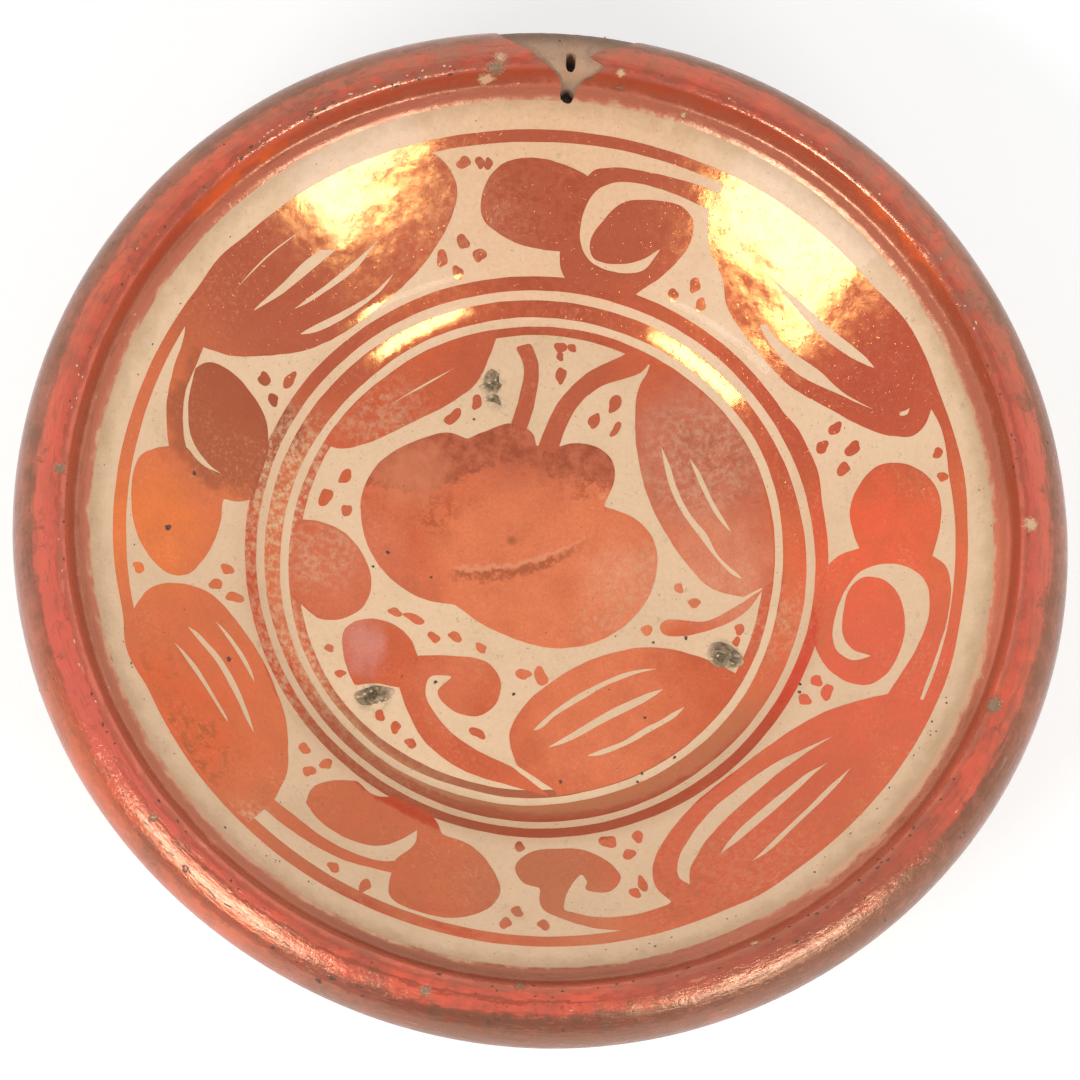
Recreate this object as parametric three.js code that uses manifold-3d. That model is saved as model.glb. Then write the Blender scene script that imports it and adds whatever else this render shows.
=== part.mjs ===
// A tin-glazed earthenware bowl painted in copper lustre: a shallow bowl on a foot ring, with a flat
// floor, a wide sloping wall, a narrow ledge and a thick rolled rim that is pierced for a hanging wire.
// Millimetres, +Z up. The origin is the middle of the face that the foot ring stands on.
import * as THREE from "three";
import { mergeVertices } from "three/addons/utils/BufferGeometryUtils.js";
import Module from "manifold-3d";

const wasm = await Module();
wasm.setup();

const at = (x, y) => new THREE.Vector2(x, y);

// Driving dimensions of the bowl's section: a run goes outwards, a rise goes up
const floorTop = 12; // glazed floor at its middle, above the standing face
const floorRadius = 44; // where the floor starts to turn up
const floorDish = 1.5; // how much higher the floor is at that radius
const slopeRun = 15.2; // the curved slope round the floor
const slopeRise = 6.8;
const wallRun = 30.5; // the wall, from the slope to the ledge
const wallRise = 20.65;
const wallStartAngle = 30; // the wall's steepness where it leaves the slope, in degrees
const wallThickness = 6;
const shoulderRun = 1.3; // the rounded shoulder that ends the wall
const shoulderRise = 1.25;
const grooveRun = 2.3; // from the shoulder to the bottom of the groove
const grooveRise = 0.4;
const lipStepRun = 1.7; // from the groove up to the rim's inner edge
const lipStepRise = 4.3;
const crestRun = 2; // from the inner edge to the crest
const crestRise = 0.9;
const lipRun = 8.5; // from the crest out to the widest point
const lipDrop = 9.7;
const lipFullness = at(0.82, 0.24); // how far the rim's outer curve bulges, in shares of its run and drop
const lipUnderDrop = 2.2; // from the widest point down to the rim's lower edge
const lipUnderRun = 1.3;
const lipTuckRun = 3.7; // the nearly flat part of the rim's underside
const lipTuckDrop = 0.45;

// Driving dimensions of the foot
const footRadius = 46; // outer radius of the standing face
const footWidth = 7;
const footHeight = 5.5; // where the foot's outer side meets the bowl
const footFlare = 1.5; // how much wider the foot is there
const recessDepth = 5; // the hollow inside the foot ring
const recessFillet = 1.2;
const bareFoot = 1.2; // height of foot that the glaze leaves bare

// Thicknesses of the coats, and the fits between pieces
const glazeThickness = 0.6;
const filmThickness = 0.25; // the lustre is drawn thicker than the real film
const bondGap = 0.05; // between a coat and what it lies on
const paintGap = 0.3; // between two pieces of painting

// Painted lines: each has a width and the bare space between it and the next line inwards
const floorPaintRadius = 47.6; // inner edge of the innermost line
const innerLineWidth = 2;
const innerLineSpace = 1.8;
const middleLineWidth = 3.4;
const middleLineSpace = 1.9;
const outerLineWidth = 2.4;
const borderWidth = 23.9;
const borderLineWidth = 2;
const bareWallWidth = 4.6; // bare glaze between the border line and the rim band

// The hanging holes and the worn patch round them
const holeAngle = 98.8; // degrees round the bowl from +X
const lowerHoleDiameter = 2.8;
const lowerHoleRadius = 91.2; // distance from the axis
const upperSlotWidth = 2.2;
const upperSlotLength = 3.8;
const upperSlotRadius = 96.6;
const wornWidthAtHole = 3.6; // width of bare clay at the lower hole
const wornWidthAtCrest = 14.4;
const wornWidthAtSide = 32; // at the rim's widest point
const wornReach = 1.9; // bare clay inwards of the lower hole's middle
const wornDepthAtSide = 1.1; // how far the bare clay goes down past the widest point
const wireBite = 1; // depth that the wire has worn into the crest
const wireBiteLength = 6;

const aroundSteps = 44; // facets round the bowl
const outlineStep = 5; // length of a facet along a painted outline
const veinSteps = 4; // facets along each side of a vein

// Where the section has its points, in shares of a curved stretch
const floorShares = [0, 0.68, 1];
const slopeShares = [0.4, 0.73, 1];
const wallShares = [0.5, 1];
const lipShares = [1 / 3, 2 / 3, 1];

// The glazed surface in section, a row of points that starts at the middle of the floor
const floorPoint = (share) => at(floorRadius * share, floorTop + floorDish * share ** 2);
const slopePoint = (share) => floorPoint(1).add(at(slopeRun * share, slopeRise * share ** 2));
const wallStart = Math.tan(THREE.MathUtils.degToRad(wallStartAngle));
const wallGain = wallRise - wallStart * wallRun;

function wallPoint(share) {
  const rise = wallStart * wallRun * share + wallGain * share ** 2;
  return slopePoint(1).add(at(wallRun * share, rise));
}

function wallOutside(share) {
  const angle = Math.atan(wallStart + (2 * wallGain * share) / wallRun);
  const inwards = at(Math.sin(angle), -Math.cos(angle));
  return wallPoint(share).addScaledVector(inwards, wallThickness);
}

const shoulder = wallPoint(1).add(at(shoulderRun, shoulderRise));
const groove = shoulder.clone().add(at(grooveRun, grooveRise));
const lipEdge = groove.clone().add(at(lipStepRun, lipStepRise));
const crest = lipEdge.clone().add(at(crestRun, crestRise));
const widest = crest.clone().add(at(lipRun, -lipDrop));
const lipCurve = new THREE.QuadraticBezierCurve(
  crest,
  crest.clone().add(at(lipFullness.x * lipRun, -lipFullness.y * lipDrop)),
  widest,
);
const lowerEdge = widest.clone().add(at(-lipUnderRun, -lipUnderDrop));
const glazedFootRadius = footRadius + glazeThickness + bondGap;

const insideSurface = [
  ...floorShares.map(floorPoint),
  ...slopeShares.map(slopePoint),
  ...wallShares.map(wallPoint),
  shoulder,
  groove,
  lipEdge,
  crest,
];
const outsideSurface = [
  ...lipShares.map((share) => lipCurve.getPoint(share)),
  lowerEdge,
  lowerEdge.clone().add(at(-lipTuckRun, -lipTuckDrop)),
  wallOutside(1),
  wallOutside(0.5),
  wallOutside(0),
  at(glazedFootRadius + footFlare, footHeight),
  at(glazedFootRadius, bareFoot),
];
const bowlSurface = [...insideSurface, ...outsideSurface];
const crestStation = insideSurface.length - 1;
const lowerEdgeStation = crestStation + lipShares.length + 1;
const lastStation = bowlSurface.length - 1;

// The glazed recess under the floor, from the foot ring's inner side to the middle
const recessRadius = footRadius - footWidth;
const glazedRecessRadius = recessRadius - glazeThickness - bondGap;
const recessSurface = [
  at(glazedRecessRadius, bareFoot),
  at(glazedRecessRadius, recessDepth - recessFillet),
  at(glazedRecessRadius - recessFillet, recessDepth),
  at(0, recessDepth),
];

// The line moved sideways by a distance, towards the air side, with its corners mitred
function offset(line, distance) {
  return line.map((point, i) => {
    const before = line[Math.max(i - 1, 0)];
    const after = line[Math.min(i + 1, line.length - 1)];
    const normals = [
      [before, point],
      [point, after],
    ]
      .filter(([a, b]) => a !== b)
      .map(([a, b]) => at(a.y - b.y, b.x - a.x).normalize());
    const sum = normals.reduce((total, normal) => total.clone().add(normal)).normalize();
    const moved = point.clone().addScaledVector(sum, distance / sum.dot(normals[0]));
    if (point.x === 0) moved.x = 0;
    return moved;
  });
}

// The part of a line between two stations, which may lie between its points
function stretch(line, from, to) {
  const point = (station) => {
    const i = Math.min(Math.floor(station), line.length - 2);
    return line[i].clone().lerp(line[i + 1], station - i);
  };
  const between = line.filter((_, i) => i > from && i < to);
  return [point(from), ...between, point(to)];
}

// The station inside the bowl at a distance from the axis
function stationAt(radius) {
  const i = insideSurface.findIndex((point) => point.x > radius) - 1;
  const [a, b] = [insideSurface[i], insideSurface[i + 1]];
  return i + (radius - a.x) / (b.x - a.x);
}

// Solids: closed geometry into manifold-3d and back
function solidOf(geometry) {
  const bare = new THREE.BufferGeometry().setAttribute(
    "position",
    (geometry.index ? geometry.toNonIndexed() : geometry).getAttribute("position"),
  );
  const merged = mergeVertices(bare, 1e-4);
  const corners = merged.index.array;
  const faces = [];
  for (let i = 0; i < corners.length; i += 3) {
    const [a, b, c] = corners.slice(i, i + 3);
    if (a !== b && b !== c && c !== a) faces.push(a, b, c);
  }
  return new wasm.Manifold(
    new wasm.Mesh({
      numProp: 3,
      vertProperties: merged.getAttribute("position").array,
      triVerts: new Uint32Array(faces),
    }),
  );
}

function geometryOf(solid) {
  const mesh = solid.getMesh();
  const geometry = new THREE.BufferGeometry();
  geometry.setAttribute("position", new THREE.BufferAttribute(mesh.vertProperties, 3));
  geometry.setIndex(new THREE.BufferAttribute(mesh.triVerts, 1));
  const flat = geometry.toNonIndexed();
  flat.computeVertexNormals();
  return flat;
}

// A closed section turned round the axis
function revolve(section) {
  const closed = [...section, section[0]];
  const lathe = new THREE.LatheGeometry(closed.reverse(), aroundSteps);
  return solidOf(lathe.rotateX(Math.PI / 2));
}

// A coat that lies on a line between two stations, from one distance off it to another
function coat(line, from, to, near, far) {
  const top = stretch(offset(line, far), from, to);
  const bottom = stretch(offset(line, near), from, to);
  return revolve([...top, ...bottom.reverse()]);
}

// An upright prism through the whole bowl
function prism(points) {
  const options = { depth: 2 * crest.y, bevelEnabled: false };
  return solidOf(new THREE.ExtrudeGeometry(new THREE.Shape(points), options));
}

// Lustre film between two distances from the axis, all round the bowl
function filmRing(from, to) {
  return coat(bowlSurface, stationAt(from), stationAt(to), bondGap, bondGap + filmThickness);
}

// The painted lines, from the floor outwards
const innerLineEnd = floorPaintRadius + innerLineWidth;
const middleLineStart = innerLineEnd + innerLineSpace;
const middleLineEnd = middleLineStart + middleLineWidth;
const outerLineStart = middleLineEnd + middleLineSpace;
const borderStart = outerLineStart + outerLineWidth;
const borderEnd = borderStart + borderWidth;
const borderLineEnd = borderEnd + borderLineWidth;
const rimBandStart = borderLineEnd + bareWallWidth;

const floorFilm = coat(
  bowlSurface,
  0,
  stationAt(floorPaintRadius - paintGap),
  bondGap,
  bondGap + filmThickness,
);
const borderFilm = filmRing(borderStart + paintGap, borderEnd - paintGap);

// Places in the painting. The border is laid out in degrees round the bowl and in shares of its width.
function onBorder([degrees, share]) {
  const angle = THREE.MathUtils.degToRad(degrees);
  const radius = borderStart + share * borderWidth;
  return at(radius * Math.cos(angle), radius * Math.sin(angle));
}

// The floor is laid out from its middle in hundredths of its painted radius
const floorUnit = floorPaintRadius / 100;
const onFloor = ([x, y]) => at(x, y).multiplyScalar(floorUnit);

// An outline of smooth runs with a corner at the end of each. One run alone is a smooth closed loop.
function outlineOf(runs, place) {
  const closed = runs.length === 1;
  return runs.flatMap((run, i) => {
    const start = closed ? [] : [runs.at(i - 1).at(-1)];
    const points = [...start, ...run].map((point) => {
      const { x, y } = place(point);
      return new THREE.Vector3(x, y, 0);
    });
    const curve = new THREE.CatmullRomCurve3(points, closed, "centripetal");
    const steps = points.length === 2 ? 1 : Math.ceil(curve.getLength() / outlineStep);
    return curve.getSpacedPoints(steps).slice(1).map(({ x, y }) => at(x, y));
  });
}

// A vein left bare in a leaf: widest half way along its line and drawn to a point at each end. Its width
// is in shares of the border's width or in the floor's units.
function veinOf({ line, width }, place, unit) {
  const points = line.map((point) => {
    const { x, y } = place(point);
    return new THREE.Vector3(x, y, 0);
  });
  const curve = new THREE.CatmullRomCurve3(points, false, "centripetal");
  const side = (sign) =>
    Array.from({ length: veinSteps + 1 }, (_, i) => {
      const middle = curve.getPointAt(i / veinSteps);
      const along = curve.getTangentAt(i / veinSteps);
      const half = (sign * width * unit * Math.sin((Math.PI * i) / veinSteps)) / 2;
      return at(middle.x - along.y * half, middle.y + along.x * half);
    });
  return [...side(1), ...side(-1).slice(1, -1).reverse()];
}

function motif(film, place, unit, runs, veins = []) {
  const whole = prism(outlineOf(runs, place)).intersect(film);
  return veins.reduce((solid, vein) => solid.subtract(prism(veinOf(vein, place, unit))), whole);
}

const borderMotif = (runs, veins) => motif(borderFilm, onBorder, borderWidth, runs, veins);
const floorMotif = (runs, veins) => motif(floorFilm, onFloor, floorUnit, runs, veins);

// The four large leaves of the border hang from its outer line. Their outlines run out past the border,
// whose edge trims them, and their veins follow their bellies.
const borderLeaves = {
  leaf_upper_right: borderMotif(
    [
      [[28.3, 0.82], [29, 0.93], [31.5, 1.03]],
      [[53, 1.5], [75, 1.03]],
      [[75.4, 0.78]],
      [
        [73, 0.55], [68.5, 0.4], [65, 0.24], [60, 0.165], [53, 0.13], [47, 0.15], [40, 0.29],
        [34, 0.46], [30.5, 0.61], [28.8, 0.74],
      ],
    ],
    [
      { line: [[40.3, 0.77], [46, 0.65], [54, 0.6], [62, 0.62]], width: 0.079 },
      { line: [[34, 0.65], [41, 0.46], [49, 0.3], [58, 0.3]], width: 0.092 },
    ],
  ),
  leaf_upper_left: borderMotif(
    [
      [[140, 1.5], [160.5, 1.03]],
      [[162.6, 0.82]],
      [
        [160.5, 0.58], [157, 0.38], [152, 0.19], [147, 0.09], [141, 0.05], [134, 0.07],
        [127, 0.145], [121, 0.29], [117.3, 0.45], [115, 0.64], [114.8, 0.77], [116, 0.92],
        [119, 1.03],
      ],
    ],
    [
      { line: [[136, 0.63], [144, 0.6], [152, 0.65]], width: 0.063 },
      { line: [[129, 0.49], [136, 0.42], [147.7, 0.44]], width: 0.05 },
    ],
  ),
  leaf_lower_left: borderMotif(
    [
      [[222, 1.4], [238.4, 1.03]],
      [[238.2, 0.74]],
      [
        [235.5, 0.43], [232, 0.27], [227.5, 0.13], [222, 0.055], [216, 0.035], [210, 0.085],
        [205, 0.19], [201.5, 0.32], [200.1, 0.48], [199.9, 0.66], [201, 0.84], [203.2, 0.96],
        [205.5, 1.03],
      ],
    ],
    [
      { line: [[209, 0.74], [213, 0.645], [218, 0.6], [224, 0.59]], width: 0.046 },
      { line: [[207, 0.58], [212, 0.43], [218.5, 0.38], [227.5, 0.45]], width: 0.063 },
    ],
  ),
  leaf_lower_right: borderMotif(
    [
      [[324, 1.5], [299.8, 1.03]],
      [[299.8, 0.85]],
      [[301, 0.835]],
      [
        [300, 0.72], [299.7, 0.6], [300.5, 0.47], [303, 0.32], [307, 0.185], [312, 0.085],
        [318, 0.035], [325, 0.045], [331, 0.09], [337, 0.18], [342.5, 0.35], [346, 0.56],
        [347.8, 0.72],
      ],
      [[347.8, 1.03]],
    ],
    [
      { line: [[314, 0.8], [321, 0.755], [328, 0.74], [335, 0.765]], width: 0.038 },
      { line: [[311, 0.6], [318, 0.51], [326, 0.5], [334.5, 0.59]], width: 0.071 },
      {
        line: [[304.5, 0.74], [305, 0.54], [310, 0.36], [319, 0.24], [328, 0.27], [338.5, 0.49]],
        width: 0.126,
      },
    ],
  ),
};

// Scrolls: a stem that leaves a leaf, curls round and ends inside its own turn
const borderScrolls = {
  scroll_top: borderMotif([
    [[75.8, 0.94]],
    [[80, 0.925], [86, 0.895], [91, 0.872], [94, 0.82], [95.2, 0.73]],
    [[97.8, 0.2]],
    [[97.2, 0.06], [95.5, -0.03]],
    [[82.5, -0.03]],
    [
      [80.5, 0.07], [78.3, 0.2], [76.8, 0.36], [76.2, 0.52], [77, 0.66], [79.5, 0.735], [84, 0.71],
      [88.5, 0.64], [91, 0.48], [92.6, 0.3], [91.5, 0.18], [87, 0.18], [83, 0.26], [80.4, 0.39],
    ],
    [
      [82, 0.19], [85, 0.13], [88.5, 0.115], [92, 0.155], [94.3, 0.27], [94.6, 0.48], [93.3, 0.66],
      [90.5, 0.765], [86, 0.8], [80, 0.805], [75.9, 0.8],
    ],
  ]),
  scroll_right: borderMotif([
    [[348.3, 0.975]],
    [[354, 0.97], [361, 0.99], [365, 0.98], [368, 0.93], [370.2, 0.8]],
    [[372.7, 0.25]],
    [[372, 0.1], [369.5, -0.03]],
    [[355, -0.03]],
    [
      [352, 0.05], [349.5, 0.17], [348, 0.36], [348.5, 0.54], [350.7, 0.635], [355, 0.68],
      [360, 0.66], [364, 0.58], [366.5, 0.46], [367.3, 0.29], [365.5, 0.19], [361, 0.165],
      [356.5, 0.2], [354, 0.3], [353.3, 0.48],
    ],
    [
      [352, 0.33], [353.5, 0.18], [357, 0.11], [361, 0.105], [365.5, 0.16], [368.5, 0.27],
      [369.4, 0.45], [368.2, 0.65], [365.5, 0.79], [361, 0.84], [355, 0.8], [348.3, 0.735],
    ],
  ]),
  scroll_bottom_right: borderMotif([
    [[299.4, 1.03]],
    [[299.4, 0.855]],
    [[295, 0.86], [290, 0.82], [285.3, 0.73]],
    [[285.6, 0.62], [287, 0.48], [289, 0.38]],
    [[289.8, 0.47]],
    [
      [289.1, 0.53], [290.6, 0.58], [293, 0.59], [295.2, 0.48], [293.6, 0.29], [290, 0.155],
      [285.5, 0.12], [280.5, 0.155], [277.8, 0.3], [279.2, 0.46], [282, 0.5],
    ],
    [[282.1, 0.7], [285, 0.81], [289, 0.92], [295, 1.03]],
  ]),
};

// Stems that bind a leaf to the fruit beyond it
const borderStems = {
  stem_left: borderMotif([
    [[162.4, 1.03]],
    [[162.9, 0.97], [168, 0.915], [173, 0.855], [178.6, 0.72]],
    [[177.5, 0.6]],
    [[175, 0.67], [170, 0.755], [163, 0.81]],
    [[161.2, 1.03]],
  ]),
  stem_bottom: borderMotif([
    [[238.7, 0.86]],
    [[245, 0.83], [252, 0.78], [259.4, 0.66]],
    [[258.6, 0.55]],
    [[255.5, 0.64], [249, 0.7], [238.6, 0.725]],
  ]),
};

// Round fruits, the seed and the bud. Each sits in the turn of a stem or a scroll.
const borderFruits = {
  fruit_right: borderMotif([
    [[10.8, 0.8]],
    [
      [13, 0.88], [18, 0.92], [22, 0.85], [25, 0.68], [26, 0.5], [24, 0.32], [20, 0.21],
      [16, 0.21], [13.3, 0.26],
    ],
  ]),
  fruit_top: borderMotif([
    [[95.7, 0.76]],
    [
      [98, 0.84], [103, 0.885], [108, 0.83], [110.8, 0.66], [111.4, 0.47], [107.5, 0.29],
      [103, 0.215], [98.4, 0.2],
    ],
  ]),
  fruit_left: borderMotif([
    [[179.1, 0.73]],
    [
      [179.9, 0.86], [182, 0.96], [188, 0.965], [194, 0.88], [198.3, 0.67], [198.3, 0.5],
      [195, 0.345], [189, 0.225], [183.5, 0.22],
    ],
    [[183.2, 0.1], [181.5, -0.03]],
    [[179.8, -0.03]],
    [[179.5, 0.19], [179.8, 0.33], [179.4, 0.46], [178, 0.6]],
  ]),
  fruit_bottom: borderMotif([
    [[259.8, 0.66]],
    [
      [259.3, 0.8], [260.3, 0.91], [265, 0.95], [270, 0.905], [274.5, 0.73], [275.7, 0.56],
      [274, 0.36], [269.5, 0.165], [264, 0.14],
    ],
    [[262.8, 0.06], [260.5, -0.03]],
    [[258.9, -0.03]],
    [[259.8, 0.17], [260.4, 0.32], [259.1, 0.55]],
  ]),
  seed_left: borderMotif([
    [[165.8, 0.775]],
    [[163.6, 0.7], [162.7, 0.52], [163.5, 0.3], [166, 0.1], [170.5, -0.03]],
    [[179.3, -0.03]],
    [[179, 0.19]],
    [[178.2, 0.4], [175.5, 0.59], [171, 0.7], [165.8, 0.775]],
  ]),
  bud_bottom: borderMotif([
    [[241.5, 0.54]],
    [[245, 0.59], [250, 0.58], [254.5, 0.51], [257.3, 0.37], [259.2, 0.18]],
    [[258.4, -0.03]],
    [[253, -0.03]],
    [[249.5, 0.075], [245, 0.05]],
    [[241.4, 0.23], [240.4, 0.38], [241.5, 0.54]],
  ]),
};

// The centre flower: five round petals that run into one another, on two stems that grow from the top
const flowerPieces = {
  flower: floorMotif([
    [[-39.9, 48.1]],
    [[-32.6, 53.8], [-23.7, 59], [-16.4, 58.8], [-12.6, 56.7], [-10.3, 51.7]],
    [[-1.5, 53.2]],
    [[7.4, 56.9], [16.8, 56.7], [23.7, 52.1], [25.8, 44.1], [23.7, 31.9]],
    [
      [37.8, 29.4], [48.3, 20.6], [51.9, 7.4], [49.6, -7.4], [42, -20.2], [29.4, -30], [14.7, -34.9],
      [-2.1, -34.2], [-16.8, -31.1], [-29.4, -25.2],
    ],
    [
      [-42, -26.1], [-56.7, -21.2], [-69.3, -11.1], [-76.9, 3.2], [-78.8, 15.8], [-74.2, 29.4],
      [-62, 41.6], [-48.3, 48.9], [-39.9, 48.1],
    ],
  ]),
  flower_stem_left: floorMotif([
    [[-23.1, 60.7]],
    [[-21.6, 73.5], [-22.7, 85.1], [-28.2, 93.1]],
    [[-22.1, 96]],
    [[-16.6, 87.2], [-14.7, 71.4], [-16, 60.1]],
  ]),
  flower_stem_right: floorMotif([
    [[-9.7, 52.9]],
    [[-5.5, 71.4], [5.3, 89.1], [18.5, 99.8], [23.1, 104]],
    [[29.8, 104]],
    [[28.6, 95.4], [10.5, 83], [2.7, 71.4], [-1.1, 54.4]],
  ]),
};

// Leaves, buds, scroll and stroke that fill the floor between the flower and the innermost line
const floorPieces = {
  floor_leaf_upper_left: floorMotif([
    [[-36.1, 105]],
    [[-38, 88.2], [-41, 74.2], [-50.4, 61.8], [-65.1, 49.4], [-79.8, 37.4], [-92.4, 31.1], [-105, 32.6]],
    [[-71.4, 88.2]],
  ]),
  floor_leaf_upper_right: floorMotif(
    [
      [[31.3, 105]],
      [[29.8, 93.7]],
      [[27.5, 86.1], [29.8, 69.3], [39.3, 44.1], [52.5, 25.2], [65.1, 13.2], [76.7, 5.7], [90.3, 4.8]],
      [[97.5, 10.9]],
      [[109.2, 16.8]],
      [[79.8, 84]],
    ],
    [
      { line: [[42.4, 63.4], [52.5, 45.2], [69.3, 27.3], [88.9, 12.4]], width: 3.6 },
      { line: [[55.5, 60.9], [66.2, 46.2], [80.3, 31.5]], width: 1.9 },
    ],
  ),
  floor_leaf_lower_right: floorMotif(
    [
      [[105, -30.5]],
      [[94.1, -29.4]],
      [
        [80.9, -25.8], [65.1, -24.4], [50.4, -27.1], [33.6, -35.7], [18.9, -48.3], [8.4, -63], [5, -76.7],
        [10.9, -89.3],
      ],
      [[29, -96.8]],
      [[31.5, -105]],
      [[88.2, -75.6]],
    ],
    [
      { line: [[60.7, -34.2], [41, -44.5], [25.2, -59.5], [14.7, -72.5]], width: 3.8 },
      { line: [[65.1, -42.4], [46.2, -56.7], [22.1, -78.4]], width: 4 },
      { line: [[75.6, -48.3], [58.8, -65.1], [38.4, -79.2]], width: 2.9 },
    ],
  ),
  floor_bud_left: floorMotif([
    [[-109.2, -4.2]],
    [[-95.6, -2.5]],
    [
      [-85.1, -4], [-73.5, -11.8], [-66.4, -24.2], [-67.9, -35.7], [-75.6, -43.1], [-85.1, -45],
      [-93.1, -40.8],
    ],
    [[-109.2, -40.8]],
  ]),
  floor_bud_lower_left: floorMotif([
    [[-40.8, -52.3]],
    [[-45.2, -44.5], [-54.6, -39.5], [-66.2, -40.5], [-73.1, -46.8], [-70.6, -59.9], [-63.7, -70.4]],
    [[-55.7, -67.2], [-46, -66]],
  ]),
  floor_scroll: floorMotif([
    [[-39.5, -52.3]],
    [
      [-26.3, -47.9], [-10.5, -47.3], [-3.4, -54.6], [-3.8, -65.1], [-10.5, -71.8], [-21, -71.4],
      [-28.8, -65.1], [-23.7, -56.7],
    ],
    [[-33.2, -59.2], [-33.6, -67.2], [-25.2, -77.1], [-11.6, -85.1], [9.7, -90.5]],
    [[27.3, -97.7]],
    [[8.4, -98.5], [-12.6, -96.2], [-29.4, -87.8], [-39.3, -76.3], [-44.5, -66]],
  ]),
  floor_stroke: floorMotif([
    [[96.4, 8.4]],
    [[91.2, 2.7]],
    [[76.7, -9], [60.1, -12.2], [58, -15.3], [60.9, -18.7], [77.7, -13.7], [91.4, -3.2], [96.4, 8.4]],
  ]),
};

// The holes and the worn patch, as upright tools laid out along the direction of the holes
const holeDirection = THREE.MathUtils.degToRad(holeAngle);
const outwards = at(Math.cos(holeDirection), Math.sin(holeDirection));
const sideways = at(-Math.sin(holeDirection), Math.cos(holeDirection));

function byHole(radius, aside) {
  return outwards.clone().multiplyScalar(radius).addScaledVector(sideways, aside);
}

// A slot with round ends along the direction of the holes, or a round hole when it is as long as wide
function slotTool(radius, width, length) {
  const quarterSteps = 4;
  const points = [];
  for (const end of [1, -1]) {
    for (let i = -quarterSteps; i <= quarterSteps; i++) {
      const angle = ((Math.PI / 2) * i) / quarterSteps;
      const reach = end * ((length - width) / 2 + (width / 2) * Math.cos(angle));
      const aside = end * (width / 2) * Math.sin(angle);
      if (length > width || i > -quarterSteps) points.push(byHole(radius + reach, aside));
    }
  }
  return prism(points);
}

const holeTools = [
  slotTool(lowerHoleRadius, lowerHoleDiameter, lowerHoleDiameter),
  slotTool(upperSlotRadius, upperSlotWidth, upperSlotLength),
];

// Where glaze and lustre have come away, from the lower hole out over the crest to the rim's side
const wornEdge = [
  [lowerHoleRadius - wornReach, 0],
  [lowerHoleRadius, wornWidthAtHole / 2],
  [crest.x, wornWidthAtCrest / 2],
  [widest.x, wornWidthAtSide / 2],
  [widest.x + lipRun, wornWidthAtSide / 2],
];
const wornFloor = widest.y - wornDepthAtSide;
const wornTool = prism([
  ...wornEdge.map(([radius, aside]) => byHole(radius, aside)),
  ...wornEdge.slice(1).reverse().map(([radius, aside]) => byHole(radius, -aside)),
]).subtract(
  revolve([
    at(0, wornFloor),
    at(widest.x + 2 * lipRun, wornFloor),
    at(widest.x + 2 * lipRun, 0),
    at(0, 0),
  ]),
);

// The shallow bite that the wire has worn in the crest above the slot
function biteTool() {
  const radius = (wireBiteLength ** 2 / 4 + wireBite ** 2) / (2 * wireBite);
  const place = byHole(crest.x, 0);
  const height = crest.y - glazeThickness - bondGap - wireBite + radius;
  const ball = new THREE.SphereGeometry(radius, 20, 12);
  return solidOf(ball.translate(place.x, place.y, height));
}

const pierced = (solid) => holeTools.reduce((left, tool) => left.subtract(tool), solid);
const pierceCoat = (solid) => pierced(solid.subtract(wornTool));

// The clay lies behind the glaze, and its bare foot ring stands on a flat face
function clayBody() {
  const depth = -(glazeThickness + bondGap);
  const section = [
    ...offset(bowlSurface, depth),
    at(footRadius, 0),
    at(recessRadius, 0),
    ...offset(recessSurface, depth),
  ];
  return pierced(revolve(section).subtract(biteTool()));
}

const clay = new THREE.MeshStandardMaterial({ color: 0xb59a78, roughness: 0.9, metalness: 0 });
const glaze = new THREE.MeshStandardMaterial({ color: 0xdcc0a0, roughness: 0.25, metalness: 0 });
const lustre = new THREE.MeshStandardMaterial({ color: 0xb8563c, roughness: 0.3, metalness: 0.5 });

const bowl = new THREE.Group();

function add(name, solid, material) {
  const mesh = new THREE.Mesh(geometryOf(solid), material);
  mesh.name = name;
  bowl.add(mesh);
}

add("clay_body", clayBody(), clay);
add("glaze_inside", pierceCoat(coat(bowlSurface, 0, crestStation, -glazeThickness, 0)), glaze);
add("glaze_outside", pierceCoat(coat(bowlSurface, crestStation, lastStation, -glazeThickness, 0)), glaze);
add("glaze_recess", coat(recessSurface, 0, recessSurface.length - 1, -glazeThickness, 0), glaze);

const rimBand = coat(
  bowlSurface,
  stationAt(rimBandStart),
  lowerEdgeStation,
  bondGap,
  bondGap + filmThickness,
);
add("rim_band", pierceCoat(rimBand), lustre);
add("border_line", filmRing(borderEnd, borderLineEnd), lustre);
add("well_line_outer", filmRing(outerLineStart, borderStart), lustre);
add("well_line_middle", filmRing(middleLineStart, middleLineEnd), lustre);
add("well_line_inner", filmRing(floorPaintRadius, innerLineEnd), lustre);

for (const group of [borderLeaves, borderScrolls, borderStems, borderFruits, flowerPieces, floorPieces]) {
  for (const [name, solid] of Object.entries(group)) add(name, solid, lustre);
}

export default bowl;
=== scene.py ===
"""A tin-glazed earthenware bowl painted in copper lustre, dressed over its solids.

The shapes are worked out in millimetres and made in metres. The painting is laid out from above, in
degrees round the bowl and shares of the border's width, or in millimetres on the floor.
"""
import math

import bpy
import numpy as np
from mathutils import Matrix, Vector, geometry


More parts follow.
